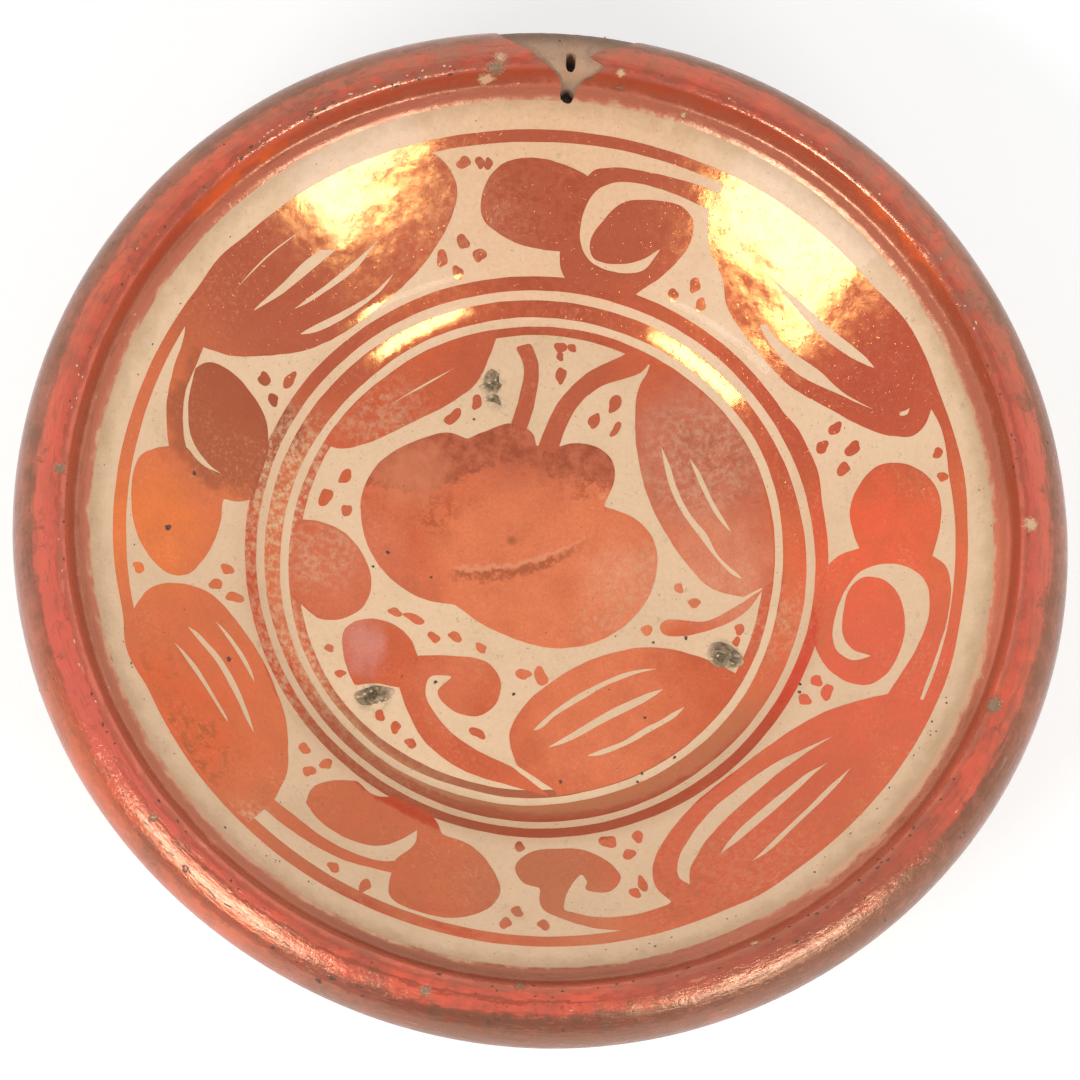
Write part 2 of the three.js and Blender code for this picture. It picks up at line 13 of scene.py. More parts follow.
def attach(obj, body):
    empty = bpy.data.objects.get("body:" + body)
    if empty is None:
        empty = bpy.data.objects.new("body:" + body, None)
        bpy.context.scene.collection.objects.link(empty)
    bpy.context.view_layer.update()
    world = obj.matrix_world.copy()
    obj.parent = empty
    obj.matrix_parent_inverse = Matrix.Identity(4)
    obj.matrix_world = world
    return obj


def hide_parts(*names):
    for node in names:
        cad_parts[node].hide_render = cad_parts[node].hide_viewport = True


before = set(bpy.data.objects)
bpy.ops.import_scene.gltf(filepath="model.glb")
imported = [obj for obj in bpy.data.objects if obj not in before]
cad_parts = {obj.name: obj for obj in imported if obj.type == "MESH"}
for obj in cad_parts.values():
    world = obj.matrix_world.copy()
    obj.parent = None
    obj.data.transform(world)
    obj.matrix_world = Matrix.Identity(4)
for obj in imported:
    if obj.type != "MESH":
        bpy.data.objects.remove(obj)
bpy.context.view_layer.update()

chance = np.random.default_rng(41)
MILLIMETRE = 0.001

# The bowl's section, as the solids have it
FLOOR_RADIUS, FLOOR_TOP, FLOOR_DISH = 44.0, 12.0, 1.5
SLOPE_RUN, SLOPE_RISE = 15.2, 6.8
WALL_RUN, WALL_RISE, WALL_THICKNESS = 30.5, 20.65, 6.0
WALL_START = math.tan(math.radians(30))
LEDGE_RADIUS = FLOOR_RADIUS + SLOPE_RUN + WALL_RUN
LEDGE_HEIGHT = FLOOR_TOP + FLOOR_DISH + SLOPE_RISE + WALL_RISE
# How steep the inside is at each radius past the floor: rise over run
STEEPNESS = [
    (44, 0.062), (48, 0.06), (50, 0.15), (51.4, 0.58), (55.6, 0.76), (56.5, 0.88), (59.2, 0.9),
    (60.5, 0.76), (61.6, 0.6), (66, 0.615), (86.5, 0.757), (89.7, 0.78),
]
BORDER_START, BORDER_WIDTH = 59.2, 23.9
HOLE_ANGLE = math.radians(98.8)
GLAZE = 0.45
BARE_FOOT = 1.2


def floor_line(share):
    return (FLOOR_RADIUS * share, FLOOR_TOP + FLOOR_DISH * share**2)


def inside_line():
    """The slope and the wall, from how steep they are, brought to the solids' height at the ledge."""
    radii = np.linspace(FLOOR_RADIUS, LEDGE_RADIUS, 58)
    steep = np.pad(np.interp(radii, *np.array(STEEPNESS).T), 1, "edge")
    steep = np.convolve(steep, [0.25, 0.5, 0.25], "valid")
    rise = np.concatenate([[0], np.cumsum((steep[1:] + steep[:-1]) / 2 * np.diff(radii))])
    start = floor_line(1)[1]
    return zip(radii, start + rise * (LEDGE_HEIGHT - start) / rise[-1])


def wall_line(share):
    gain = WALL_RISE - WALL_START * WALL_RUN
    start = FLOOR_TOP + FLOOR_DISH + SLOPE_RISE
    return (
        FLOOR_RADIUS + SLOPE_RUN + WALL_RUN * share,
        start + WALL_START * WALL_RUN * share + gain * share**2,
    )


def wall_outside(share):
    gain = WALL_RISE - WALL_START * WALL_RUN
    angle = math.atan(WALL_START + 2 * gain * share / WALL_RUN)
    r, z = wall_line(share)
    return (r + WALL_THICKNESS * math.sin(angle), z - WALL_THICKNESS * math.cos(angle))


def shares(count, first=0):
    return [i / count for i in range(first, count + 1)]


def rounded(corners):
    """The line through (r, z, radius) corners, each turned with an arc of its own radius."""
    line = []
    for i, (r, z, radius) in enumerate(corners):
        here = np.array([r, z])
        if not radius:
            line.append(here)
            continue
        back = np.array(corners[i - 1][:2]) - here
        on = np.array(corners[i + 1][:2]) - here
        back, back_length = back / np.linalg.norm(back), np.linalg.norm(back)
        on, on_length = on / np.linalg.norm(on), np.linalg.norm(on)
        half = math.acos(np.clip(back @ on, -1, 1)) / 2
        reach = min(radius / math.tan(half), 0.49 * back_length, 0.49 * on_length)
        radius = reach * math.tan(half)
        middle = here + (back + on) / np.linalg.norm(back + on) * radius / math.sin(half)
        start, end = here + back * reach - middle, here + on * reach - middle
        turn = math.atan2(start[0] * end[1] - start[1] * end[0], start @ end)
        steps = max(3, math.ceil(abs(turn) / math.radians(11)))
        for step in range(steps + 1):
            c, s = math.cos(turn * step / steps), math.sin(turn * step / steps)
            line.append(middle + [start[0] * c - start[1] * s, start[0] * s + start[1] * c])
    return np.array(line)


def filled(line, step):
    """The line with points added, so that none of its pieces is longer than the step."""
    points = [line[0]]
    for a, b in zip(line, line[1:]):
        count = max(1, math.ceil(np.linalg.norm(b - a) / step))
        points += [a + (b - a) * i / count for i in range(1, count + 1)]
    return np.array(points)


def air_side(line):
    """Unit normals of a line that runs outwards along the top and back along the bottom."""
    pieces = np.diff(line, axis=0)
    sides = np.stack([-pieces[:, 1], pieces[:, 0]], 1)
    sides /= np.linalg.norm(sides, axis=1)[:, None]
    ends = np.vstack([sides[:1], sides]) + np.vstack([sides, sides[-1:]])
    return ends / np.linalg.norm(ends, axis=1)[:, None]


LIP_START, LIP_PULL, WIDEST = (97.0, 47.8), (105.2, 46.4), (105.5, 38.1)


def lip_line(share):
    a, b, c = (1 - share) ** 2, 2 * share * (1 - share), share**2
    return tuple(a * p + b * q + c * w for p, q, w in zip(LIP_START, LIP_PULL, WIDEST))


surface_corners = (
    [(*floor_line(s), 0) for s in shares(30)]
    + [(r, z, 0) for r, z in list(inside_line())[1:]]
    + [(91.1, 42.1, 2.6), (93.3, 42.7, 1.7), (95.0, 46.9, 1.9), (*LIP_START, 3.2)]
    + [(*lip_line(s), 0) for s in shares(14, 2)]
    + [(104.3, 36.0, 1.5), (100.5, 35.45, 3), (93.4, 36.2, 4)]
    + [(*wall_outside(1 - s), 0) for s in shares(16, 1)]
    + [(48.15, 5.5, 4), (46.65, BARE_FOOT, 0)]
)
surface = filled(rounded(surface_corners), 1.1)
surface[0, 0] = 0
surface_normal = air_side(surface)
surface_normal[0] = (0, 1)
surface_arc = np.concatenate([[0], np.cumsum(np.linalg.norm(np.diff(surface, axis=0), axis=1))])
crest_row = int(np.argmax(surface[:, 1]))
widest_row = int(np.argmax(surface[:, 0]))


def smooth_step(value, start, end):
    share = np.clip((value - start) / (end - start), 0, 1)
    return share * share * (3 - 2 * share)


def warped(points):
    """Where the thrown and fired bowl really lies: a little out of round, with soft rings."""
    x, y, z = points.T
    r = np.hypot(x, y)
    angle = np.arctan2(y, x)
    free = smooth_step(r, 47, 100)
    out = free * (0.35 * np.cos(2 * angle + 1.1) + 0.16 * np.cos(5 * angle + 0.4))
    lift = free * (0.3 * np.sin(2 * angle + 0.6) + 0.12 * np.sin(5 * angle + 2.1))
    above = smooth_step(z, 6, 12)
    lift += above * 0.02 * np.sin(x / 3.1 + 1.7 * np.sin(y / 7.3)) * np.sin(y / 3.7 + 0.5)
    lift += above * 0.07 * np.sin(x / 7.7 - y / 9.1 + 1.2) * np.sin(y / 6.3 + x / 12.7)
    rings = np.sin(r * 1.35 + 1.3 * np.sin(angle + 0.8) + 0.5 * np.sin(3 * angle))
    lift += above * smooth_step(r, 10, 60) * 0.006 * rings
    turn = 1 + out / np.maximum(r, 1)
    return np.stack([x * turn, y * turn, z + lift], 1)


def on_surface(places, lift):
    """Points over places seen from above, lifted off the glaze."""
    x, y = places.T
    r = np.hypot(x, y)
    angle = np.arctan2(y, x)
    rows = slice(0, widest_row + 1)
    arc = np.interp(r, surface[rows, 0], surface_arc[rows])
    line = [np.interp(arc, surface_arc, column) for column in (*surface.T, *surface_normal.T)]
    out = line[0] + lift * line[2]
    points = np.stack([out * np.cos(angle), out * np.sin(angle), line[1] + lift * line[3]], 1)
    return warped(points)


def surface_faces(places):
    """Unit normals of the glazed surface over places seen from above."""
    reach = 0.15
    along_x = on_surface(places + [reach, 0], 0) - on_surface(places - [reach, 0], 0)
    along_y = on_surface(places + [0, reach], 0) - on_surface(places - [0, reach], 0)
    normals = np.cross(along_x, along_y)
    return normals / np.linalg.norm(normals, axis=1)[:, None]


# Making meshes
def new_object(name, points, faces):
    mesh = bpy.data.meshes.new(name)
    mesh.from_pydata((points * MILLIMETRE).tolist(), [], faces)
    mesh.validate()
    mesh.shade_smooth()
    made = bpy.data.objects.new(name, mesh)
    bpy.context.scene.collection.objects.link(made)
    return made


def dressed(piece, material, nodes=()):
    piece.data.materials.clear()
    piece.data.materials.append(material)
    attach(piece, "root")
    if nodes:
        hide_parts(*nodes)
    return piece


fine = np.radians(np.arange(-16, 16, 0.3)) + HOLE_ANGLE
coarse = np.linspace(math.radians(16), math.radians(344), 250, endpoint=False) + HOLE_ANGLE
column_angles = np.concatenate([fine, coarse])


def revolved(name, section, shape=None):
    """A closed section turned round the axis. It starts and ends on the axis, or meets itself."""
    on_axis = section[0][0] == 0
    rings = section[1:-1] if on_axis else section
    count = len(column_angles)
    c, s = np.cos(column_angles), np.sin(column_angles)
    points = np.concatenate(
        [np.stack([r * c, r * s, np.full(count, z)], 1) for r, z in rings]
    )
    faces = []
    for row in range(len(rings) - (1 if on_axis else 0)):
        a, b = row * count, (row + 1) % len(rings) * count
        for i in range(count):
            j = (i + 1) % count
            faces.append((a + i, b + i, b + j, a + j))
    if on_axis:
        points = np.vstack([points, [0, 0, section[0][1]], [0, 0, section[-1][1]]])
        top, bottom = len(points) - 2, len(points) - 1
        last = (len(rings) - 1) * count
        faces += [(top, i, (i + 1) % count) for i in range(count)]
        faces += [(bottom, last + (i + 1) % count, last + i) for i in range(count)]
    if shape:
        points = shape(points)
    return new_object(name, warped(points), faces)


def lifted(rows, distance):
    return surface[rows] + surface_normal[rows] * distance


def cut(piece, *tools):
    """Takes the tools' shapes out of the piece for good."""
    for tool in tools:
        change = piece.modifiers.new("cut", "BOOLEAN")
        change.operation = "DIFFERENCE"
        change.solver = "MANIFOLD"
        change.object = tool
    depsgraph = bpy.context.evaluated_depsgraph_get()
    mesh = bpy.data.meshes.new_from_object(piece.evaluated_get(depsgraph))
    piece.modifiers.clear()
    old, piece.data = piece.data, mesh
    bpy.data.meshes.remove(old)
    return piece


CREASE = math.radians(42)


def crisp(piece):
    piece.data.set_sharp_from_angle(angle=CREASE)
    return piece


# Drawn outlines
def smooth_run(points, step, closed=False):
    """A centripetal curve through the points, with a point about every step."""
    points = np.array(points, float)
    if len(points) == 2:
        return filled(points, step)
    if closed:
        knots = np.vstack([points[-1:], points, points[:2]])
    else:
        first, last = 2 * points[0] - points[1], 2 * points[-1] - points[-2]
        knots = np.vstack([first, points, last])
    made = []
    for a, b, c, d in zip(knots, knots[1:], knots[2:], knots[3:]):
        gaps = [max(1e-4, np.linalg.norm(q - p)) ** 0.5 for p, q in ((a, b), (b, c), (c, d))]
        t1, t2, t3 = np.cumsum(gaps)
        count = max(2, math.ceil(gaps[1] ** 2 / step))
        t = (t1 + (t2 - t1) * np.arange(count) / count)[:, None]
        ab = (a * (t1 - t) + b * t) / t1
        bc = (b * (t2 - t) + c * (t - t1)) / (t2 - t1)
        cd = (c * (t3 - t) + d * (t - t2)) / (t3 - t2)
        abc = (ab * (t2 - t) + bc * t) / t2
        bcd = (bc * (t3 - t) + cd * (t - t1)) / (t3 - t1)
        made.append((abc * (t2 - t) + bcd * (t - t1)) / (t2 - t1))
    line = np.vstack(made)
    return line if closed else np.vstack([line, points[-1:]])


def outline(runs, place, unsteady=0.09):
    """A closed outline of smooth runs with a brush's small unsteadiness. One run alone is a loop."""
    step = 0.7
    placed = [place(np.array(run, float).reshape(-1, 2)) for run in runs]
    if len(placed) == 1:
        loop = smooth_run(placed[0], step, closed=True)
    else:
        starts = [placed[-1][-1:]] + [run[-1:] for run in placed[:-1]]
        pieces = [smooth_run(np.vstack([a, run]), step)[1:] for a, run in zip(starts, placed)]
        loop = np.vstack(pieces)
    loop = (np.roll(loop, 1, 0) + 2 * loop + np.roll(loop, -1, 0)) / 4
    tangent = np.roll(loop, -1, 0) - np.roll(loop, 1, 0)
    length = np.maximum(np.linalg.norm(tangent, axis=1), 1e-6)
    side = np.stack([-tangent[:, 1], tangent[:, 0]], 1) / length[:, None]
    turn = np.linspace(0, 2 * math.pi, len(loop), endpoint=False)
    waves = np.zeros(len(loop))
    for wave in (3, 7, 13, 22, 31):
        count = max(1, round(wave * len(loop) / 150))
        waves += np.sin(count * turn + chance.uniform(0, 6.3)) * unsteady * 1.6 / wave**0.5
    return loop + side * waves[:, None] * 0.6


def on_border(places):
    angle = np.radians(places[:, 0])
    radius = BORDER_START + places[:, 1] * BORDER_WIDTH
    return np.stack([radius * np.cos(angle), radius * np.sin(angle)], 1)


def on_floor(places):
    return places


def by_hole(places):
    """From (distance from the axis, distance to the left of the holes) to the place above."""
    c, s = math.cos(HOLE_ANGLE), math.sin(HOLE_ANGLE)
    return np.stack([places[:, 0] * c - places[:, 1] * s, places[:, 0] * s + places[:, 1] * c], 1)


def inside(places, loop):
    """Which places lie inside a closed loop."""
    x, y = places[:, 0, None], places[:, 1, None]
    x1, y1 = loop.T
    x2, y2 = np.roll(loop, -1, 0).T
    crosses = (y1 > y) != (y2 > y)
    rise = np.where(y2 == y1, 1, y2 - y1)
    return (crosses & (x < (x2 - x1) * (y - y1) / rise + x1)).sum(1) % 2 == 1


def painted(places, loops, gaps):
    """Which places lie inside a loop and outside all the gaps."""
    kept = np.any([inside(places, loop) for loop in loops], axis=0)
    for gap in gaps:
        kept &= ~inside(places, gap)
    return kept


def film(name, loops, gaps=(), top=0.05, bottom=-0.08, spacing=1.7, relief=0.0):
    """A thin closed skin on the glaze inside the loops and outside the gaps.

    Small marks need no points within their outlines, so their spacing is 0.
    """
    corners = np.vstack([*loops, *gaps])
    edges = []
    for loop in [*loops, *gaps]:
        start = len(edges)
        edges += [(start + i, start + (i + 1) % len(loop)) for i in range(len(loop))]
    field = np.zeros((0, 2))
    if spacing:
        low, high = corners.min(0) - spacing, corners.max(0) + spacing
        rows = np.arange(low[1], high[1], spacing * 0.87)
        xs, ys = np.meshgrid(np.arange(low[0], high[0], spacing), rows)
        xs[::2] += spacing / 2
        field = np.stack([xs.ravel(), ys.ravel()], 1)
        field = field[painted(field, loops, gaps)]
        nearest = np.full(len(field), np.inf)
        for corner in corners:
            nearest = np.minimum(nearest, np.hypot(*(field - corner).T))
        field = field[nearest > spacing * 0.4]
    flat = [Vector(point) for point in np.vstack([corners, field])]
    made = geometry.delaunay_2d_cdt(flat, edges, [], 0, 1e-5, False)
    places = np.array([tuple(point) for point in made[0]])
    triangles = np.array([face for face in made[2] if len(face) == 3])
    triangles = triangles[painted(places[triangles].mean(1), loops, gaps)]
    used, triangles = np.unique(triangles, return_inverse=True)
    triangles = triangles.reshape(-1, 3)
    places = places[used]
    normals = surface_faces(places)
    upper = on_surface(places, top)
    if relief:
        x, y = places.T
        upper[:, 2] += relief * (np.sin(x * 2.9 + 1) * np.sin(y * 3.3) + np.sin(x * 1.3 - y * 1.9))
    count = len(places)
    directed = np.concatenate([triangles[:, [0, 1]], triangles[:, [1, 2]], triangles[:, [2, 0]]])
    keys = set(map(tuple, directed))
    rim = [(a, b) for a, b in directed if (b, a) not in keys]
    faces = [*triangles, *(triangles[:, ::-1] + count)]
    faces += [(b, a, a + count, b + count) for a, b in rim]
    faces = [tuple(int(i) for i in face) for face in faces]
    piece = new_object(name, np.vstack([upper, on_surface(places, bottom)]), faces)
    if not relief and len(piece.data.polygons) == len(faces):
        sides = [np.cross(upper[b] - upper[a], normals[a]) for a, b in rim]
        sides = [side / max(np.linalg.norm(side), 1e-9) for side in sides]
        corners_up = normals[triangles.ravel()]
        corners_down = -normals[triangles[:, ::-1].ravel()]
        corner_normals = np.vstack([corners_up, corners_down, np.repeat(sides, 4, axis=0)])
        piece.data.normals_split_custom_set(corner_normals.tolist())
    return piece


def around(readings):
    """A smooth closed function of the angle through (degrees, value) readings."""
    at, values = np.array(readings, float).T
    at = np.concatenate([at - 360, at, at + 360])
    values = np.tile(values, 3)

    def value(degrees):
        i = np.clip(np.searchsorted(at, degrees, side="right") - 1, 0, len(at) - 2)
        share = smooth_step(degrees, at[i], at[i + 1])
        return values[i] + (values[i + 1] - values[i]) * share

    return value


LINE_WAVES, LINE_UNSTEADY = (5, 11, 23, 47, 71), 0.1
PAST_LINE = 1.06


def ring_film(name, inner, outer, top):
    """A painted line round the bowl between two radii, each a function of the angle."""
    degrees = np.linspace(0, 360, 420, endpoint=False)
    angle = np.radians(degrees)
    loops = []
    for radius in (outer, inner):
        waves = [np.sin(wave * angle + chance.uniform(0, 6.3)) / wave**0.5 for wave in LINE_WAVES]
        edge = radius(degrees) + sum(waves) * LINE_UNSTEADY
        loops.append(np.stack([edge * np.cos(angle), edge * np.sin(angle)], 1))
    return film(name, loops[:1], loops[1:], top=top, spacing=1.2)


def edge(start, end):
    """A run just past the border's outer line, from one angle to another."""
    count = max(2, round(abs(end - start) / 4))
    return [[start + (end - start) * i / count, PAST_LINE] for i in range(count + 1)]


def blot(x, y, half_x, half_y=None, tilt=0.0, rough=0.12):
    """A small uneven oval of paint."""
    half_y = half_x if half_y is None else half_y
    turn = np.linspace(0, 2 * math.pi, 20, endpoint=False)
    size = 1 + rough * sum(np.sin(wave * turn + chance.uniform(0, 6.3)) / wave for wave in (2, 3, 4))
    px, py = half_x * size * np.cos(turn), half_y * size * np.sin(turn)
    c, s = math.cos(math.radians(tilt)), math.sin(math.radians(tilt))
    return np.stack([x + px * c - py * s, y + px * s + py * c], 1)


# Materials
def linear(*color):
    """From a colour as a screen shows it, 0 to 255, to the amounts of light, 0 to 1."""
    shares = [value / 255 for value in color]
    return [c / 12.92 if c <= 0.04045 else ((c + 0.055) / 1.055) ** 2.4 for c in shares]


class Tree:
    """The nodes of a material or of the world. A colour of three numbers is as a screen shows it."""

    def __init__(self, owner):
        owner.use_nodes = True
        self.owner = owner
        self.nodes, self.links = owner.node_tree.nodes, owner.node_tree.links

    def put(self, socket, value):
        if isinstance(value, bpy.types.NodeSocket):
            self.links.new(value, socket)
        elif socket.type == "RGBA" and len(value) == 3:
            socket.default_value = (*linear(*value), 1)
        else:
            socket.default_value = value

    def node(self, kind, inputs, output=0, **settings):
        """An output of a new node with these inputs and settings."""
        made = self.nodes.new("ShaderNode" + kind)
        for name, value in settings.items():
            setattr(made, name, value)
        for name, value in inputs.items():
            self.put(made.inputs[name], value)
        return made.outputs[output]

    def parts(self, vector):
        return self.node("SeparateXYZ", {0: vector}).node.outputs

    def maths(self, operation, first, *others):
        for other in others:
            first = self.node("Math", {0: first, 1: other}, operation=operation)
        return first

    def times(self, *factors):
        return self.maths("MULTIPLY", *factors)

    def total(self, *values):
        return self.maths("ADD", *values)

    def less(self, value, taken):
        return self.maths("SUBTRACT", value, taken)

    def most(self, *values):
        return self.maths("MAXIMUM", *values)

    def between(self, value, start, end, low=0, high=1):
        """Low up to the start, high past the end, and a smooth step from one to the other."""
        inputs = {"Value": value, "From Min": start, "From Max": end, "To Min": low, "To Max": high}
        return self.node("MapRange", inputs, "Result", interpolation_type="SMOOTHSTEP")

    def band(self, value, start, full, full_end, end):
        return self.times(self.between(value, start, full), self.between(value, end, full_end))

    def mix(self, share, first, second):
        return self.node("Mix", {"Factor": share, "A": first, "B": second}, "Result", data_type="RGBA")


class Graph(Tree):
    """A material whose colour is painted in layers. Its places and sizes are in millimetres."""

    def __init__(self, name):
        super().__init__(bpy.data.materials.new(name))
        metres = self.node("TexCoord", {}, "Object")
        self.place = self.node("VectorMath", {0: metres, "Scale": 1 / MILLIMETRE}, operation="SCALE")
        self.flat = self.node("VectorMath", {0: self.place, 1: (1, 1, 0)}, operation="MULTIPLY")
        self.x, self.y, self.z = self.parts(self.place)
        squares = self.total(self.times(self.x, self.x), self.times(self.y, self.y))
        self.radius = self.node("Math", {0: squares}, operation="SQRT")
        self.unsteady = self.swing(7)
        self.ragged = self.swing(1.1, 4, 0.7, seed=41)

    def noise(self, size, detail=3, roughness=0.55, distortion=0, seed=0, place=None):
        """Noise with patches about that many millimetres across."""
        inputs = {"Vector": place or self.place, "W": seed, "Scale": 1 / size, "Detail": detail}
        inputs.update({"Roughness": roughness, "Distortion": distortion})
        return self.node("TexNoise", inputs, "Fac", noise_dimensions="4D")

    def swing(self, *noise, reach=1, **options):
        """Noise about 0, up to half of the reach either way."""
        return self.times(self.less(self.noise(*noise, **options), 0.5), reach)

    def patches(self, start, end, *noise, low=0, high=1, **options):
        """High where the noise is past the end, low where it is under the start."""
        return self.between(self.noise(*noise, **options), start, end, low, high)

    def near(self, x, y, inner, outer, uneven=0):
        """1 within the inner distance of a place seen from above, 0 beyond the outer one."""
        distance = self.node("VectorMath", {0: self.flat, 1: (x, y, 0)}, "Value", operation="DISTANCE")
        return self.between(self.total(distance, self.times(self.unsteady, uneven)), inner, outer, 1, 0)

    def touching(self, x, y, inner, outer):
        """Like near, but measured on the surface and with a finely ragged edge."""
        place = (x, y, float(np.interp(math.hypot(x, y), *surface[: widest_row + 1].T)))
        distance = self.node("VectorMath", {0: self.place, 1: place}, "Value", operation="DISTANCE")
        return self.between(self.total(distance, self.times(self.ragged, 3.2)), inner, outer, 1, 0)

    def paint(self, tone, *shares):
        """Lays a tone over the colour, as strongly as all the shares together."""
        self.color = self.mix(self.times(*shares), self.color, tone)

    def spots(self, tone, uneven, places, *shares):
        for x, y, inner, outer, strength in places:
            self.paint(tone, self.near(x, y, inner, outer, uneven), *shares, strength)

    def bump(self, *layers):
        """Bumps in millimetres: (height, depth) pairs laid over each other."""
        below = {}
        for height, depth in layers:
            inputs = {"Height": height, "Distance": depth * MILLIMETRE, "Strength": 1, **below}
            below = {"Normal": self.node("Bump", inputs, "Normal")}
        return below["Normal"]

    def finish(self, roughness, normal, **constants):
        sockets = self.nodes["Principled BSDF"].inputs
        values = {"Base Color": self.color, "Roughness": roughness, "Normal": normal, **constants}
        for name, value in values.items():
            self.put(sockets[name.replace("_", " ")], value)
        return self.owner


def glaze_relief(g):
    """The skin that the glaze and the lustre on it share: a slow swell, an orange-peel wave and pits."""
    pits = g.patches(0.27, 0.33, 0.75, 1, 0.4, seed=8)
    return g.bump((g.noise(8, 2, 0.5), 0.12), (g.noise(1.4, 3, 0.6, seed=3), 0.016), (pits, 0.02))


CREAM = (220, 190, 156)
# Where the kiln's props stood: place on the floor, full reach and far reach
PROP_PLACES = [
    (-16.3, 36, 1.2, 3.8), (-15.2, 32.2, 0.6, 2.8), (-26.2, -34.9, 2, 4.6), (42.2, -10.6, 2, 4.4),
]


def prop_spots(g, wider=1):
    return g.most(*(g.near(x, y, inner, outer * wider, 3) for x, y, inner, outer in PROP_PLACES))


def paint_cream(g):
    """The soiled cream of the glaze, with smoky stains where the kiln's props stood, and painted shade."""
    g.color = g.mix(g.noise(34, 2), (229, 195, 158), (219, 184, 147))
    g.paint((205, 172, 132), g.patches(0.45, 0.75, 9, 4, seed=2), 0.45)
    # Painted shade: a darker, warmer cream at the top of the wall, under the rim
    g.paint((214, 166, 122), g.near(-14, 90, 10, 60, 20), 0.6)
    # Painted shade: a darker cream over the floor's middle, evening it with the walls that the lamps light
    # less
    g.paint((212, 178, 144), g.near(20, -14, 8, 34, 12), 0.5)
    g.paint((240, 214, 180), g.patches(0.35, 0.7, 0.9, 3, 0.6, seed=16), 0.22)
    g.paint((166, 142, 98), g.patches(0.6, 0.72, 3.2, 5, 0.7, seed=33), 0.4)
    reach = g.total(g.radius, g.times(g.noise(5, 4, 0.65, seed=15), 7))
    g.paint((160, 124, 84), g.between(reach, 89.8, 94), g.between(g.radius, 91, 90.4), 0.42)
    g.paint((166, 128, 94), g.patches(0.64, 0.74, 0.9, 2, 0.5, seed=5), 0.35)
    g.paint((118, 88, 64), g.patches(0.71, 0.77, 0.5, 1, 0.3, seed=11), 0.55)
    g.paint((128, 118, 90), prop_spots(g), g.patches(0.38, 0.6, 1.6, 4, 0.7, seed=19), 0.5)


def tin_glaze():
    g = Graph("tin_glaze")
    paint_cream(g)
    roughness = g.patches(0.3, 0.7, 5, seed=4, low=0.48, high=0.6)
    coat = {"Coat_Weight": 0.1, "Coat_Roughness": 0.07, "Coat_IOR": 1.5}
    return g.finish(roughness, glaze_relief(g), IOR=1.5, **coat)


# Where the lustre's tone drifts: place seen from above, full reach, far reach, tone, strength
BORDER_TONES = [
    (-10, 78, 18, 46, (178, 78, 64), 0.95), (-62, 42, 10, 44, (180, 80, 66), 0.95),
    (55, 56, 10, 40, (190, 70, 60), 0.9), (66, 14, 6, 22, (244, 76, 60), 0.9),
    (74, -14, 10, 34, (226, 64, 66), 0.9), (-78, -17, 6, 19, (240, 110, 56), 0.95),
    (-66, 11, 11, 16, (150, 40, 46), 0.95), (-62, -48, 8, 34, (222, 86, 60), 0.9),
    (-66, -58, 10, 20, (224, 62, 30), 0.85), (-20, -72, 10, 30, (196, 70, 56), 0.9),
    (18, -70, 8, 28, (194, 70, 60), 0.85), (50, -54, 10, 34, (210, 54, 56), 0.9),
    (64, -36, 4, 16, (206, 58, 60), 0.8), (26, -76, 3, 14, (212, 110, 84), 0.7),
]
FLOOR_TONES = [
    (4, 0, 18, 34, (238, 130, 92), 0.9), (20, 0, 4, 14, (238, 146, 112), 0.6),
    (-6, 34, 8, 26, (190, 88, 70), 0.9), (-33, 4, 4, 14, (222, 114, 84), 0.7),
    (28, 30, 10, 22, (204, 116, 98), 0.85), (37, 8, 5, 18, (232, 146, 116), 0.8),
    (20, -30, 8, 26, (234, 126, 90), 0.85), (-36, -12, 6, 20, (220, 118, 90), 0.8),
    (-30, -25, 2, 8, (220, 144, 138), 0.7), (-12, -30, 4, 12, (224, 118, 86), 0.7),
]


def paint_lustre(g, tones, worn_spots=(), dark_spots=()):
    g.color = g.mix(g.noise(30, 2, seed=1), (222, 98, 68), (204, 88, 64))
    for x, y, inner, outer, tone, strength in tones:
        g.paint(tone, g.near(x, y, inner, outer, 14), strength)
    g.paint((156, 62, 46), g.patches(0.35, 0.75, 7, 4, 0.6, 0.4, seed=6), 0.28)
    crowd = g.patches(0.46, 0.66, 16, seed=31, low=0.12)
    g.paint((230, 150, 122), g.patches(0.48, 0.72, 0.8, 4, 0.7, 0.2, seed=9), crowd, 0.46)
    g.paint((120, 48, 36), g.patches(0.3, 0.7, 0.45, 2, 0.6, seed=34), 0.18)
    g.spots((150, 44, 28), 5, dark_spots, g.patches(0.48, 0.58, 2.6, 5, 0.7, 0.4, seed=21))
    g.spots(CREAM, 6, worn_spots, g.patches(0.42, 0.64, 1.3, 6, 0.75, seed=12))
    g.paint((244, 188, 156), g.patches(0.71, 0.78, 0.5, 2, 0.5, seed=14), 0.6)
    g.paint((104, 52, 40), g.patches(0.73, 0.78, 0.5, 1, 0.4, seed=24), 0.45)


def copper_lustre(g):
    """The film of copper on the glaze: it throws back a lamp as yellow gold."""
    roughness = g.patches(0.32, 0.68, 2.4, 5, 0.66, seed=4, low=0.08, high=0.17)
    gold = {"IOR": 2.4, "Specular_Tint": (1, 0.55, 0.17, 1), "Coat_Weight": 0.1, "Coat_Roughness": 0.05}
    return g.finish(roughness, glaze_relief(g), **gold)


def lustre(name, tones, worn_spots=(), dark_spots=(), brown_spots=()):
    g = Graph(name)
    paint_lustre(g, tones, worn_spots, dark_spots)
    g.spots((146, 86, 70), 6, brown_spots)
    return copper_lustre(g)


